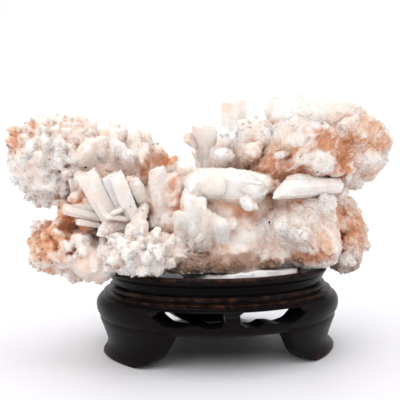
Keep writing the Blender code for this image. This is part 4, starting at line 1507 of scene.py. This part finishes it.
    def stone(self, finish: StoneFinish) -> bpy.types.Material:
        """Crystal material of one habit.

        Args:
            finish: constant values.

        Returns:
            The material.
        """
        mat, kit, shader, place = self.started(finish.name, {
            "Roughness": finish.roughness, "IOR": finish.ior, "Subsurface Weight": finish.scatter,
            "Subsurface Radius": (1.0, 0.86, 0.76), "Subsurface Scale": 0.006,
            "Transmission Weight": finish.transmission, "Coat Weight": finish.coat, "Coat Roughness": 0.12,
        })
        masks = kit.node("ShaderNodeAttribute", attribute_name="mineral")
        tint = kit.node("ShaderNodeGroup", node_tree=self.tint)
        kit.link(masks.outputs["Color"], tint.inputs["Masks"])
        kit.link(masks.outputs["Alpha"], tint.inputs["Earth"])
        kit.link(place, tint.inputs["Position"])
        kit.link(tint.outputs["Color"], shader.inputs["Base Color"])
        pits = kit.texture("ShaderNodeTexNoise", place, in_Scale=650.0, in_Detail=6.0, in_Roughness=0.72)
        chips = kit.texture("ShaderNodeTexVoronoi", place, in_Scale=900.0)
        height = kit.math("ADD", pits.outputs[0], kit.math("MULTIPLY", chips.outputs["Distance"], 0.7))
        grown = kit.texture("ShaderNodeMapping", place, in_Rotation=finish.turn, in_Scale=finish.stretch)
        faces = kit.node("ShaderNodeGroup", node_tree=self.facets, in_Strength=finish.facets)
        kit.link(grown.outputs[0], faces.inputs["Position"])
        kit.link(kit.node("ShaderNodeNewGeometry").outputs["Normal"], faces.inputs["Normal"])
        bump = kit.bump(height, finish.bump, 0.0011)
        kit.link(faces.outputs[0], bump.inputs["Normal"])
        kit.link(bump.outputs[0], shader.inputs["Normal"])
        return mat

    @staticmethod
    def speck() -> bpy.types.Material:
        """Dark inclusion.

        Returns:
            The material.
        """
        return Materials.started("dark_inclusion", {"Base Color": Materials.INCLUSION, "Roughness": 0.6})[0]

    @staticmethod
    def lacquer() -> bpy.types.Material:
        """Black lacquer, rubbed brown on its edges.

        Returns:
            The material.
        """
        mat, kit, shader, place = Materials.started("black_lacquer", {
            "Coat Weight": 0.03, "Coat Roughness": 0.1, "IOR": 1.45, "Specular IOR Level": 0.05,
        })
        wear = kit.node("ShaderNodeAttribute", attribute_name="wear")
        grain = kit.texture("ShaderNodeTexNoise", place,
                            in_Scale=240.0, in_Detail=7.0, in_Roughness=0.7).outputs[0]
        rubbed = kit.math("MULTIPLY", wear.outputs["Fac"], kit.ramp(grain, 0.42, 0.72))
        kit.link(kit.mix(Materials.LACQUER, Materials.RUBBED, rubbed), shader.inputs["Base Color"])
        rough = kit.node("ShaderNodeMapRange", in_To_Min=0.24, in_To_Max=0.44)
        kit.link(grain, rough.inputs[0])
        kit.link(rough.outputs[0], shader.inputs["Roughness"])
        kit.link(kit.bump(grain, 0.12, 0.0004).outputs[0], shader.inputs["Normal"])
        return mat

    @staticmethod
    def tissue() -> bpy.types.Material:
        """White soft paper.

        Returns:
            The material.
        """
        mat, kit, shader, place = Materials.started("tissue_paper", {
            "Base Color": Materials.PAPER, "Roughness": 0.85,
            "Subsurface Weight": 0.2, "Subsurface Scale": 0.001,
        })
        fibre = kit.texture("ShaderNodeTexNoise", place, in_Scale=1400.0, in_Detail=4.0)
        kit.link(kit.bump(fibre.outputs[0], 0.25, 0.0003).outputs[0], shader.inputs["Normal"])
        return mat

    @staticmethod
    def backdrop() -> bpy.types.Material:
        """Pale studio floor.

        Returns:
            The material.
        """
        return Materials.started("pale_floor", {"Base Color": Materials.FLOOR, "Roughness": 0.55})[0]


class Stand:
    """Fine version of the turned, pierced and footed stand.

    OUTER, INNER and WORN are radius and height; the rubbed brown spreads by WORN_SPREAD round the
    places in WORN and SCUFFED_UP_TO a height at the feet. LEG_OUTER and LEG_INNER are height and
    radius, LEG_EDGE and SLOT angle and height, in millimetres and degrees. LEGS and GAPS are
    bearings from the front. UP_CROWDING draws a leg's rings towards its lower edge.
    """

    STEPS = 168
    OUTER = (
        (0.0, 33.4), (44.5, 33.8), (48.2, 35.2), (49.6, 38.3), (50.0, 38.85), (50.6, 39.05), (53.0, 39.05),
        (53.6, 38.85), (53.9, 38.3), (53.9, 37.2), (53.55, 36.3), (53.0, 35.7), (52.5, 35.2), (52.3, 34.3),
        (51.4, 33.95), (50.4, 33.9), (50.2, 33.0), (50.4, 31.8), (51.6, 31.5), (52.7, 31.2), (53.05, 30.4),
        (52.9, 29.4), (53.7, 29.0), (54.9, 28.85), (55.6, 28.45), (55.7, 28.0), (55.3, 27.5), (55.5, 27.1),
        (57.0, 26.5), (58.0, 25.7), (58.75, 24.5), (59.15, 23.3), (59.2, 22.0), (59.0, 20.4), (58.5, 18.9),
        (57.7, 17.5), (56.9, 16.5), (55.9, 15.8),
    )
    INNER = ((48.4, 15.8), (49.0, 27.6), (0.0, 27.6))
    LEG_OUTER = ((0.0, 56.2), (0.9, 56.9), (2.2, 56.1), (3.8, 54.2), (5.5, 53.9), (9.0, 55.0), (12.5, 56.3),
                 (15.8, 57.6), (18.0, 57.2))
    LEG_INNER = ((0.0, 45.6), (4.0, 46.4), (11.0, 47.8), (18.0, 49.2))
    LEG_EDGE = ((0.0, 0.0), (7.0, 0.0), (13.5, 0.0), (15.5, 0.7), (21.5, 2.6), (26.0, 5.6), (29.3, 9.4),
                (32.2, 13.0), (34.8, 16.6))
    SLOT = ((3.0, 25.0), (3.0, 22.0), (4.8, 20.4), (9.5, 19.9), (13.5, 21.2), (17.5, 21.0), (22.0, 19.9),
            (28.0, 20.6), (33.5, 23.6), (31.0, 26.0), (22.0, 26.0), (13.0, 26.0), (4.2, 26.0))
    LEGS = (-54.0, 66.0, 186.0)
    GAPS = (6.0, 126.0, 246.0)
    WORN = ((50.8, 39.0), (53.7, 38.7), (55.6, 28.4), (57.2, 1.0), (56.0, 16.0), (52.9, 30.4))
    WORN_SPREAD = 0.9
    SCUFFED_UP_TO = 4.5
    SCUFFING = 0.9
    HALF_LEG = 34.8
    LEG_TOP = 18.0
    LEG_STEPS = 30
    UP_STEPS = 22
    UP_CROWDING = 1.4
    CUT_RADII = (40.0, 68.0)
    SHARP_DEG = 38.0

    def __init__(self, material: bpy.types.Material) -> None:
        """Keep the material.

        Args:
            material: black lacquer.
        """
        self.material = material

    @staticmethod
    def point(radius: float, degrees: float, height: float) -> tuple:
        """Position at a bearing measured from the front.

        Args:
            radius: millimetres from the axis.
            degrees: bearing.
            height: millimetres.

        Returns:
            Position in metres.
        """
        a = radians(degrees)
        return ((radius * np.sin(a) + AXIS[0]) * MM, (-radius * np.cos(a) + AXIS[1]) * MM, height * MM)

    @staticmethod
    def finished(name: str, bm: bmesh.types.BMesh) -> bpy.types.Object:
        """Object from a bmesh, faces outward.

        Args:
            name: object name.
            bm: geometry, freed here.

        Returns:
            The object.
        """
        bmesh.ops.recalc_face_normals(bm, faces=bm.faces)
        mesh = bpy.data.meshes.new(name)
        bm.to_mesh(mesh)
        bm.free()
        return linked(name, mesh)

    def turned(self) -> bpy.types.Object:
        """Surface of revolution through the stand's outline.

        Returns:
            The turned body.
        """
        bm = bmesh.new()
        rings = []
        for radius, height in self.OUTER + self.INNER:
            count = 1 if radius == 0.0 else self.STEPS
            bearings = [360.0 * i / self.STEPS for i in range(count)]
            rings.append([bm.verts.new(self.point(radius, bearing, height)) for bearing in bearings])
        for low, high in zip(rings, rings[1:]):
            for i in range(self.STEPS):
                j = (i + 1) % self.STEPS
                ring = [low[i % len(low)], low[j % len(low)], high[j % len(high)], high[i % len(high)]]
                bm.faces.new(list(dict.fromkeys(ring)))
        return self.finished("stand_fine", bm)

    def leg(self, centre: float) -> bpy.types.Object:
        """One leg lofted through upright sections, its lower edge following the swept outline.

        Args:
            centre: bearing of its middle.

        Returns:
            The leg.
        """
        bm = bmesh.new()
        edge, outer, inner = (np.array(rows).T for rows in (self.LEG_EDGE, self.LEG_OUTER, self.LEG_INNER))
        offsets = np.concatenate([-np.linspace(self.HALF_LEG, 0.0, self.LEG_STEPS)[:-1],
                                  np.linspace(0.0, self.HALF_LEG, self.LEG_STEPS)])
        sections = []
        for offset in offsets:
            low = float(np.interp(abs(offset), *edge))
            heights = low + np.linspace(0.0, 1.0, self.UP_STEPS) ** self.UP_CROWDING * (self.LEG_TOP - low)
            bearing = centre + offset
            ring = [self.point(float(np.interp(z, *outer)), bearing, z) for z in heights]
            ring += [self.point(float(np.interp(z, *inner)), bearing, z) for z in heights[::-1][::3]]
            sections.append([bm.verts.new(p) for p in ring])
        n = len(sections[0])
        for near, far in zip(sections, sections[1:]):
            for i in range(n):
                j = (i + 1) % n
                bm.faces.new((near[i], near[j], far[j], far[i]))
        bm.faces.new(sections[0])
        bm.faces.new(sections[-1])
        return self.finished("leg_fine", bm)

    def slot(self, centre: float, mirrored: bool) -> bpy.types.Object:
        """Cutter for one apron slot.

        Args:
            centre: bearing of the bridge between two slots.
            mirrored: True for the slot on the other side of the bridge.

        Returns:
            The cutter.
        """
        bm = bmesh.new()
        sign = -1.0 if mirrored else 1.0
        rings = [[bm.verts.new(self.point(r, centre + sign * a, z)) for a, z in self.SLOT]
                 for r in self.CUT_RADII]
        mid_a = centre + sign * sum(a for a, _ in self.SLOT) / len(self.SLOT)
        mid_z = sum(z for _, z in self.SLOT) / len(self.SLOT)
        hubs = [bm.verts.new(self.point(r, mid_a, mid_z)) for r in self.CUT_RADII]
        n = len(self.SLOT)
        for i in range(n):
            j = (i + 1) % n
            bm.faces.new((rings[0][i], rings[0][j], rings[1][j], rings[1][i]))
            for ring, hub in zip(rings, hubs):
                bm.faces.new((hub, ring[i], ring[j]))
        return self.finished("slot_cutter", bm)

    @staticmethod
    def boolean(target: bpy.types.Object, tool: bpy.types.Object, operation: str) -> None:
        """Join or cut with another object, which is then removed.

        Args:
            target: object changed.
            tool: the other object.
            operation: UNION or DIFFERENCE.
        """
        mod = target.modifiers.new("cut", "BOOLEAN")
        mod.operation = operation
        mod.solver = "EXACT"
        mod.object = tool
        graph = bpy.context.evaluated_depsgraph_get()
        mesh = bpy.data.meshes.new_from_object(target.evaluated_get(graph))
        target.modifiers.remove(mod)
        target.data = mesh
        bpy.data.objects.remove(tool, do_unlink=True)

    def build(self) -> bpy.types.Object:
        """Turn, foot and pierce the stand, then mark where its edges are rubbed.

        Returns:
            The piece.
        """
        body = self.turned()
        for centre in self.LEGS:
            self.boolean(body, self.leg(centre), "UNION")
        for centre in self.GAPS:
            for mirrored in (False, True):
                self.boolean(body, self.slot(centre, mirrored), "DIFFERENCE")
        mesh = body.data
        co = vectors(mesh.vertices, "co") / MM
        radius = np.hypot(co[:, 0] - AXIS[0], co[:, 1] - AXIS[1])
        wear = np.zeros(len(co))
        for r, z in self.WORN:
            wear = np.maximum(wear, np.exp(-((radius - r) ** 2 + (co[:, 2] - z) ** 2) / self.WORN_SPREAD))
        scuffed = np.clip((self.SCUFFED_UP_TO - co[:, 2]) / self.SCUFFED_UP_TO, 0.0, 1.0)
        wear = np.maximum(wear, scuffed * self.SCUFFING)
        layer = mesh.attributes.new("wear", "FLOAT", "POINT")
        layer.data.foreach_set("value", wear.astype(np.float32))
        mesh.shade_smooth()
        mesh.set_sharp_from_angle(angle=radians(self.SHARP_DEG))
        mesh.materials.clear()
        mesh.materials.append(self.material)
        return body


class Tissue:
    """Crumpled tissue pad in the tray, in millimetres.

    WAVES shape its outline: how many round it, their height as a share and their turn. FOLD and
    CREASE are the heights of the two sizes of creases, SLACK how far the top lies under TOP. LIFT
    is how far the edge rises at LIFT_BEARING, from LIFT_FROM of the radius outwards, and DROOP how
    far it falls from DROOP_FROM outwards.
    """

    CENTRE = (11.0, -14.0)
    RADIUS = 26.5
    TOP = 38.4
    BOTTOM = 34.3
    AROUND = 240
    RINGS = 60
    WAVES = ((7, 0.035, 0.0), (11, 0.025, 1.0))
    WIDENING = 1.06
    FOLD = 0.55
    CREASE = 0.25
    SLACK = 0.3
    LIFT = 2.3
    LIFT_BEARING = radians(-62.0)
    LIFT_FROM = 0.55
    HEM = 0.8
    CROWN_DROP = 0.1
    DROOP = 1.1
    DROOP_FROM = 0.9

    def __init__(self, material: bpy.types.Material) -> None:
        """Keep the material and the fold noises.

        Args:
            material: tissue paper.
        """
        self.material = material
        self.folds = WaveNoise(41, 0.011)
        self.creases = WaveNoise(42, 0.0045)

    def build(self) -> bpy.types.Object:
        """Pad as a disc grid: a slack upper face creased by folded noise, lifted at the front.

        The height is the pad's top, plus a lift near the front right edge, plus two sizes of
        creases made of one minus the absolute noise, which gives sharp ridges. The creases grow
        from the middle outwards and the last tenth of the radius droops.

        Returns:
            The piece.
        """
        a = tau * np.arange(self.AROUND) / self.AROUND
        reach = np.linspace(0.0, 1.0, self.RINGS + 1)[1:]
        ang, rel = np.meshgrid(a, reach)
        wavy = sum(share * np.sin(count * ang + turn) for count, share, turn in self.WAVES)
        radius = self.RADIUS * rel * (1.0 + rel * wavy)
        x = self.CENTRE[0] + self.WIDENING * radius * np.cos(ang)
        y = self.CENTRE[1] + radius * np.sin(ang)
        flat = np.column_stack([x.ravel(), y.ravel(), np.zeros(x.size)]) * MM
        crease = self.FOLD * (1.0 - np.abs(self.folds.at(flat)))
        crease += self.CREASE * (1.0 - np.abs(self.creases.at(flat)))
        front = np.maximum(0.0, np.cos(ang - self.LIFT_BEARING)) ** 2
        lift = self.LIFT * front * np.maximum(0.0, rel - self.LIFT_FROM) / (1.0 - self.LIFT_FROM)
        creased = np.clip(rel * 1.4 - 0.3, 0.1, 1.0)
        z = self.TOP - self.SLACK + crease.reshape(x.shape) * creased + lift
        edge = np.clip((rel - self.DROOP_FROM) / (1.0 - self.DROOP_FROM), 0.0, 1.0)
        z = z - self.DROOP * edge ** 2
        upper = np.column_stack([x.ravel(), y.ravel(), z.ravel()])
        low = upper[-self.AROUND:].copy()
        low[:, 2] = self.BOTTOM + self.HEM
        under = np.array([[self.CENTRE[0], self.CENTRE[1], self.BOTTOM]])
        crown = np.array([[self.CENTRE[0], self.CENTRE[1], self.TOP - self.CROWN_DROP]])
        verts = (np.concatenate([upper, low, crown, under]) + np.array([AXIS[0], AXIS[1], 0.0])) * MM
        n, k = self.AROUND, self.RINGS
        i = np.arange(n)
        j = (i + 1) % n
        faces = []
        for ring in range(k):
            p, q = ring * n + i, ring * n + j
            faces += [np.column_stack([p, p + n, q + n]), np.column_stack([p, q + n, q])]
        crown_i, under_i = (k + 1) * n, (k + 1) * n + 1
        faces.append(np.column_stack([np.full(n, crown_i), i, j]))
        last = k * n
        faces.append(np.column_stack([last + i, np.full(n, under_i), last + j]))
        parts = MeshParts()
        parts.add(verts, np.concatenate(faces))
        return shown("tissue_fine", parts.mesh("tissue_fine"), np.zeros((len(verts), 4)), self.material, 60.0)


class Studio:
    """Floor, world, lights and camera.

    The floor runs flat from FLOOR_FRONT to FLOOR_END and bends up with the radius BEND. The sky
    brightens with y plus SKY_TILT times z; SKY is where that starts and ends, and how bright each is.
    """

    FLOOR_FRONT = -2.5
    FLOOR_END = 0.9
    BEND = 0.6
    BEND_STEPS = 16
    WALL_TOP = 3.0
    HALF_WIDTH = 3.0
    SKY_TILT = 0.9
    SKY = (-0.75, 0.35, 0.34, 0.86)
    AIM = (0.0, 0.0, 0.07)
    SENSOR_MM = 36.0
    CLIP_START = 0.01
    LIGHTS = (
        AreaLight("key_left", (-0.55, -0.55, 0.65), AIM, (0.7, 0.7), 3.0, (1.0, 0.985, 0.97)),
        AreaLight("key_right", (0.75, -0.35, 0.55), AIM, (0.5, 0.7), 1.6, (1.0, 0.99, 0.98)),
        AreaLight("front_high", (0.0, -0.85, 0.6), AIM, (0.9, 0.4), 2.4, (1.0, 0.99, 0.98)),
        AreaLight("top", (0.0, 0.1, 0.9), AIM, (0.8, 0.6), 1.6, (1.0, 1.0, 1.0)),
        AreaLight("backdrop", (0.0, 0.72, 0.9), (0.0, 1.2, 0.1), (1.7, 0.5), 9.5, (1.0, 1.0, 1.0)),
    )

    def __init__(self, materials: Materials) -> None:
        """Keep the materials.

        Args:
            materials: all materials.
        """
        self.materials = materials

    def sweep(self) -> bpy.types.Object:
        """Seamless backdrop: flat floor, a quarter-circle bend and an upright wall.

        Returns:
            The floor object.
        """
        profile = [(self.FLOOR_FRONT, 0.0), (self.FLOOR_END, 0.0)]
        for i in range(1, self.BEND_STEPS + 1):
            a = 0.25 * tau * i / self.BEND_STEPS
            profile.append((self.FLOOR_END + self.BEND * np.sin(a), self.BEND * (1.0 - np.cos(a))))
        profile.append((self.FLOOR_END + self.BEND, self.WALL_TOP))
        bm = bmesh.new()
        rows = [[bm.verts.new((x, y, z)) for x in (-self.HALF_WIDTH, self.HALF_WIDTH)] for y, z in profile]
        for near, far in zip(rows, rows[1:]):
            bm.faces.new((near[0], near[1], far[1], far[0]))
        mesh = bpy.data.meshes.new("studio_floor")
        bm.to_mesh(mesh)
        bm.free()
        mesh.shade_smooth()
        mesh.materials.append(self.materials.backdrop())
        return linked("studio_floor", mesh)

    @staticmethod
    def light(spec: AreaLight) -> None:
        """Put up one light.

        Args:
            spec: its values.
        """
        data = bpy.data.lights.new(spec.name, "AREA")
        data.shape = "RECTANGLE"
        data.size, data.size_y = spec.size
        data.energy = spec.power
        data.color = spec.colour
        lamp = linked(spec.name, data)
        lamp.location = spec.place
        way = Vector(spec.aim) - Vector(spec.place)
        lamp.rotation_euler = way.to_track_quat("-Z", "Y").to_euler()

    def build(self, spec: CameraSpec) -> bpy.types.Object:
        """Set up everything round the object.

        Args:
            spec: camera values.

        Returns:
            The floor, which is only a stage.
        """
        floor = self.sweep()
        world = bpy.data.worlds.new("studio")
        world.use_nodes = True
        kit = NodeKit(world.node_tree)
        back = world.node_tree.nodes["Background"]
        back.inputs[0].default_value = (1.0, 0.985, 0.985, 1)
        way = kit.node("ShaderNodeTexCoord")
        split = kit.node("ShaderNodeSeparateXYZ")
        kit.link(way.outputs["Generated"], split.inputs[0])
        fall = kit.node("ShaderNodeMapRange", interpolation_type="SMOOTHSTEP")
        height = kit.math("ADD", split.outputs["Y"], kit.math("MULTIPLY", split.outputs["Z"], self.SKY_TILT))
        kit.link(height, fall.inputs[0])
        for slot, value in enumerate(self.SKY, 1):
            fall.inputs[slot].default_value = value
        kit.link(fall.outputs[0], back.inputs[1])
        scene = bpy.context.scene
        scene.world = world
        for light in self.LIGHTS:
            self.light(light)
        data = bpy.data.cameras.new("camera")
        data.sensor_width = self.SENSOR_MM
        data.lens = self.SENSOR_MM * spec.focal_px / spec.frame_px
        data.shift_x = (0.5 * spec.frame_px - spec.axis_px) / spec.frame_px
        data.shift_y = (spec.horizon_px - 0.5 * spec.frame_px) / spec.frame_px
        data.clip_start = self.CLIP_START
        camera = linked("camera", data)
        camera.location = (AXIS[0] * MM, (AXIS[1] - EYE_DISTANCE) * MM, EYE_HEIGHT * MM)
        camera.rotation_euler = (radians(90.0), radians(spec.roll_deg), 0.0)
        scene.camera = camera
        scene.view_settings.view_transform = "Standard"
        scene.view_settings.look = "None"
        return floor


class Cluster:
    """All pieces of the crystal cluster.

    GRAIN_LEVEL, GRAIN_SWING and GRAIN_FLOOR are the chance of a grain, its swing with the noise and
    its least. A SHAKE is how far a direction is turned at random, PROUD how far a grain stands out,
    BLADE_FACING how squarely the surface must face away from a spray's centre, BLADE_ROOT how deep
    a blade is rooted in widths.
    """

    GRAINS_A_LOBE = 700
    GRAIN_LEVEL = 0.35
    GRAIN_SWING = 0.5
    GRAIN_FLOOR = 0.02
    GRAIN_SHAKE = 0.5
    GRAIN_WIDTH = (0.5, 1.2)
    GRAIN_PROUD = (0.25, 0.9)
    GRAIN_THICKNESS = (0.5, 1.0)
    BLADE_FACING = 0.25
    BLADE_SHAKE = 0.16
    BLADE_ROOT = 1.6
    BLADE_LEAST_MM = 0.1
    BLADE_THICKNESS = (0.35, 0.8)
    SPECK_BUMPS = 0.25

    def __init__(self, materials: Materials, limits: tuple) -> None:
        """Prepare the field of stains and painted shade, the surfaces and the materials.

        Args:
            materials: all materials.
            limits: lowest and highest corner that the pieces keep to.
        """
        self.stains_and_shade = StainAndShadeField(PATCHES)
        self.surface = LobeSurface(self.stains_and_shade, limits)
        self.stones = {finish: materials.stone(finish) for finish in (RADIAL, COLUMNAR, SUGARY, CLEAR)}
        self.speck_material = materials.speck()

    def finished(self, name: str, parts: MeshParts, share: float, finish: StoneFinish,
                 sharp_deg: float) -> bpy.types.Object:
        """Piece from gathered crystals, kept inside the limits, stained and given the painted shade.

        Args:
            name: piece name.
            parts: the crystals' geometry.
            share: strength of the stains and the painted shade.
            finish: which stone material.
            sharp_deg: angle over which edges stay sharp.

        Returns:
            The piece.
        """
        parts.verts = [self.surface.held_in(block) for block in parts.verts]
        mesh = parts.mesh(name)
        masks = share * self.stains_and_shade.at(vectors(mesh.vertices, "co"))
        return shown(name, mesh, masks, self.stones[finish], sharp_deg)

    def clear_crystals(self) -> bpy.types.Object:
        """The towers, the leaning prisms, the big white crystal and the wedge, slightly see-through.

        Returns:
            The piece.
        """
        rng = np.random.default_rng(3)
        parts = MeshParts()
        for fan, shape in CLEAR_FANS:
            CrystalMesher(shape, 4).add(parts, Crystals.listed(fan.rows).grown_round(fan, rng))
        return self.finished("clear_crystals", parts, 0.6, CLEAR, 22.0)

    def blades(self, lobes: list) -> bpy.types.Object:
        """Fine pointed blades along the radiating fans.

        A blade stands on a random vertex whose normal faces away from the spray's centre, and
        points along centre-to-vertex, shaken a little.

        Args:
            lobes: the lobe pieces.

        Returns:
            The piece.
        """
        rng = np.random.default_rng(29)
        sets = []
        for spray in SPRAYS:
            mesh = lobes[spray.lobe].data
            points, normals = vectors(mesh.vertices, "co"), vectors(mesh.vertex_normals, "vector")
            centre = placed(np.array([spray.centre], dtype=float))[0]
            ray = points - centre
            near = np.linalg.norm(ray / (np.array(spray.half)[[0, 2, 1]] * MM), axis=1) < 1.0
            ray /= np.linalg.norm(ray, axis=1)[:, None]
            open_side = np.flatnonzero(near & ((ray * normals).sum(axis=1) > self.BLADE_FACING))
            pick = rng.choice(open_side, min(spray.count, len(open_side)), replace=False)
            way = ray[pick] + self.BLADE_SHAKE * rng.normal(size=(len(pick), 3))
            way /= np.linalg.norm(way, axis=1)[:, None]
            width = rng.uniform(*spray.width, len(pick)) * MM
            root = points[pick] - way * (self.BLADE_ROOT * width)[:, None]
            proud = rng.uniform(self.BLADE_LEAST_MM, spray.proud, len(pick))[:, None]
            tip = points[pick] + way * proud * MM
            sets.append(Crystals(root, tip, width, width * rng.uniform(*self.BLADE_THICKNESS, len(pick))))
        parts = MeshParts()
        CrystalMesher(BLADE, 61).add(parts, Crystals.joined(sets))
        return self.finished("fine_blades", parts, 1.0, RADIAL, 18.0)

    def druse(self, lobes: list) -> bpy.types.Object:
        """Blunt grains seated on the lobes where sugary patches show.

        Vertices are drawn at random, more often where slow noise is high, and each grain
        stands on its vertex along a shaken normal.

        Args:
            lobes: the lobe pieces.

        Returns:
            The piece.
        """
        rng = np.random.default_rng(12)
        zones = WaveNoise(51, 0.014)
        sets = []
        for lobe, spec in zip(lobes, LOBES[:-1]):
            points = vectors(lobe.data.vertices, "co")
            normals = vectors(lobe.data.vertex_normals, "vector")
            chance = np.clip(self.GRAIN_LEVEL + self.GRAIN_SWING * zones.at(points), self.GRAIN_FLOOR, 1.0)
            chance /= chance.sum()
            count = int(self.GRAINS_A_LOBE * spec.facet)
            pick = rng.choice(len(points), count, replace=False, p=chance)
            way = normals[pick] + self.GRAIN_SHAKE * rng.normal(size=(count, 3))
            way /= np.linalg.norm(way, axis=1)[:, None]
            width = rng.uniform(*self.GRAIN_WIDTH, count) * MM
            root = points[pick] - way * width[:, None]
            tip = points[pick] + way * (width * rng.uniform(*self.GRAIN_PROUD, count))[:, None]
            sets.append(Crystals(root, tip, width, width * rng.uniform(*self.GRAIN_THICKNESS, count)))
        parts = MeshParts()
        CrystalMesher(GRAIN, 77).add(parts, Crystals.joined(sets))
        return self.finished("cluster_druse", parts, 0.7, SUGARY, 25.0)

    def specks(self) -> bpy.types.Object:
        """Small dark inclusions, dropped along the line of sight onto the first surface met.

        Returns:
            The piece.
        """
        graph = bpy.context.evaluated_depsgraph_get()
        graph.update()
        eye = np.array([AXIS[0], AXIS[1] - EYE_DISTANCE, EYE_HEIGHT]) * MM
        ways, faces = unit_ball(2)
        noise = WaveNoise(61, 0.001)
        parts = MeshParts()
        for across, up, size in SPECKS:
            aim = placed(np.array([[across, up, 0.0]]))[0]
            way = (aim - eye) / np.linalg.norm(aim - eye)
            hit, place, *_ = bpy.context.scene.ray_cast(graph, eye.tolist(), way.tolist())
            if not hit:
                continue
            centre = np.array(place[:])
            radius = 0.5 * size * MM * (1.0 + self.SPECK_BUMPS * noise.at(centre + ways * MM))
            parts.add(centre + ways * radius[:, None], faces)
        mesh = parts.mesh("dark_specks")
        return shown("dark_specks", mesh, np.zeros((parts.count, 4)), self.speck_material, 60.0)

    def build(self) -> list:
        """Build every piece of the cluster.

        Returns:
            The pieces.
        """
        lobes = [self.surface.build(lobe, 100 + i, self.stones[finish])
                 for i, (lobe, finish) in enumerate(zip(LOBES, LOBE_FINISHES))]
        return lobes + [self.clear_crystals(), self.blades(lobes), self.druse(lobes), self.specks()]


def declare(pieces: list, node: str) -> None:
    """Args:
        pieces: visual pieces.
        node: CAD node.
    """
    for piece in pieces:
        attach(piece, "root")
        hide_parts(node)


def main() -> None:
    """Load the frame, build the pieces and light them."""
    logging.basicConfig(level=logging.INFO, format="%(message)s")
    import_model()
    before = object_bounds()
    materials = Materials()
    stand = Stand(materials.lacquer()).build()
    declare([stand], "stand")
    LOG.info("stand: %d vertices", len(stand.data.vertices))
    tissue = Tissue(materials.tissue()).build()
    declare([tissue], "tissue")
    cluster = Cluster(materials, (np.array(before[0]), np.array(before[1]) + HEADROOM)).build()
    declare(cluster, "aragonite_cluster")
    for piece in [stand, tissue] + cluster:
        LOG.info("%s: %d triangles", piece.name, len(piece.data.loops) - 2 * len(piece.data.polygons))
    Studio(materials).build(CameraSpec())


if __name__ == "__main__":
    main()
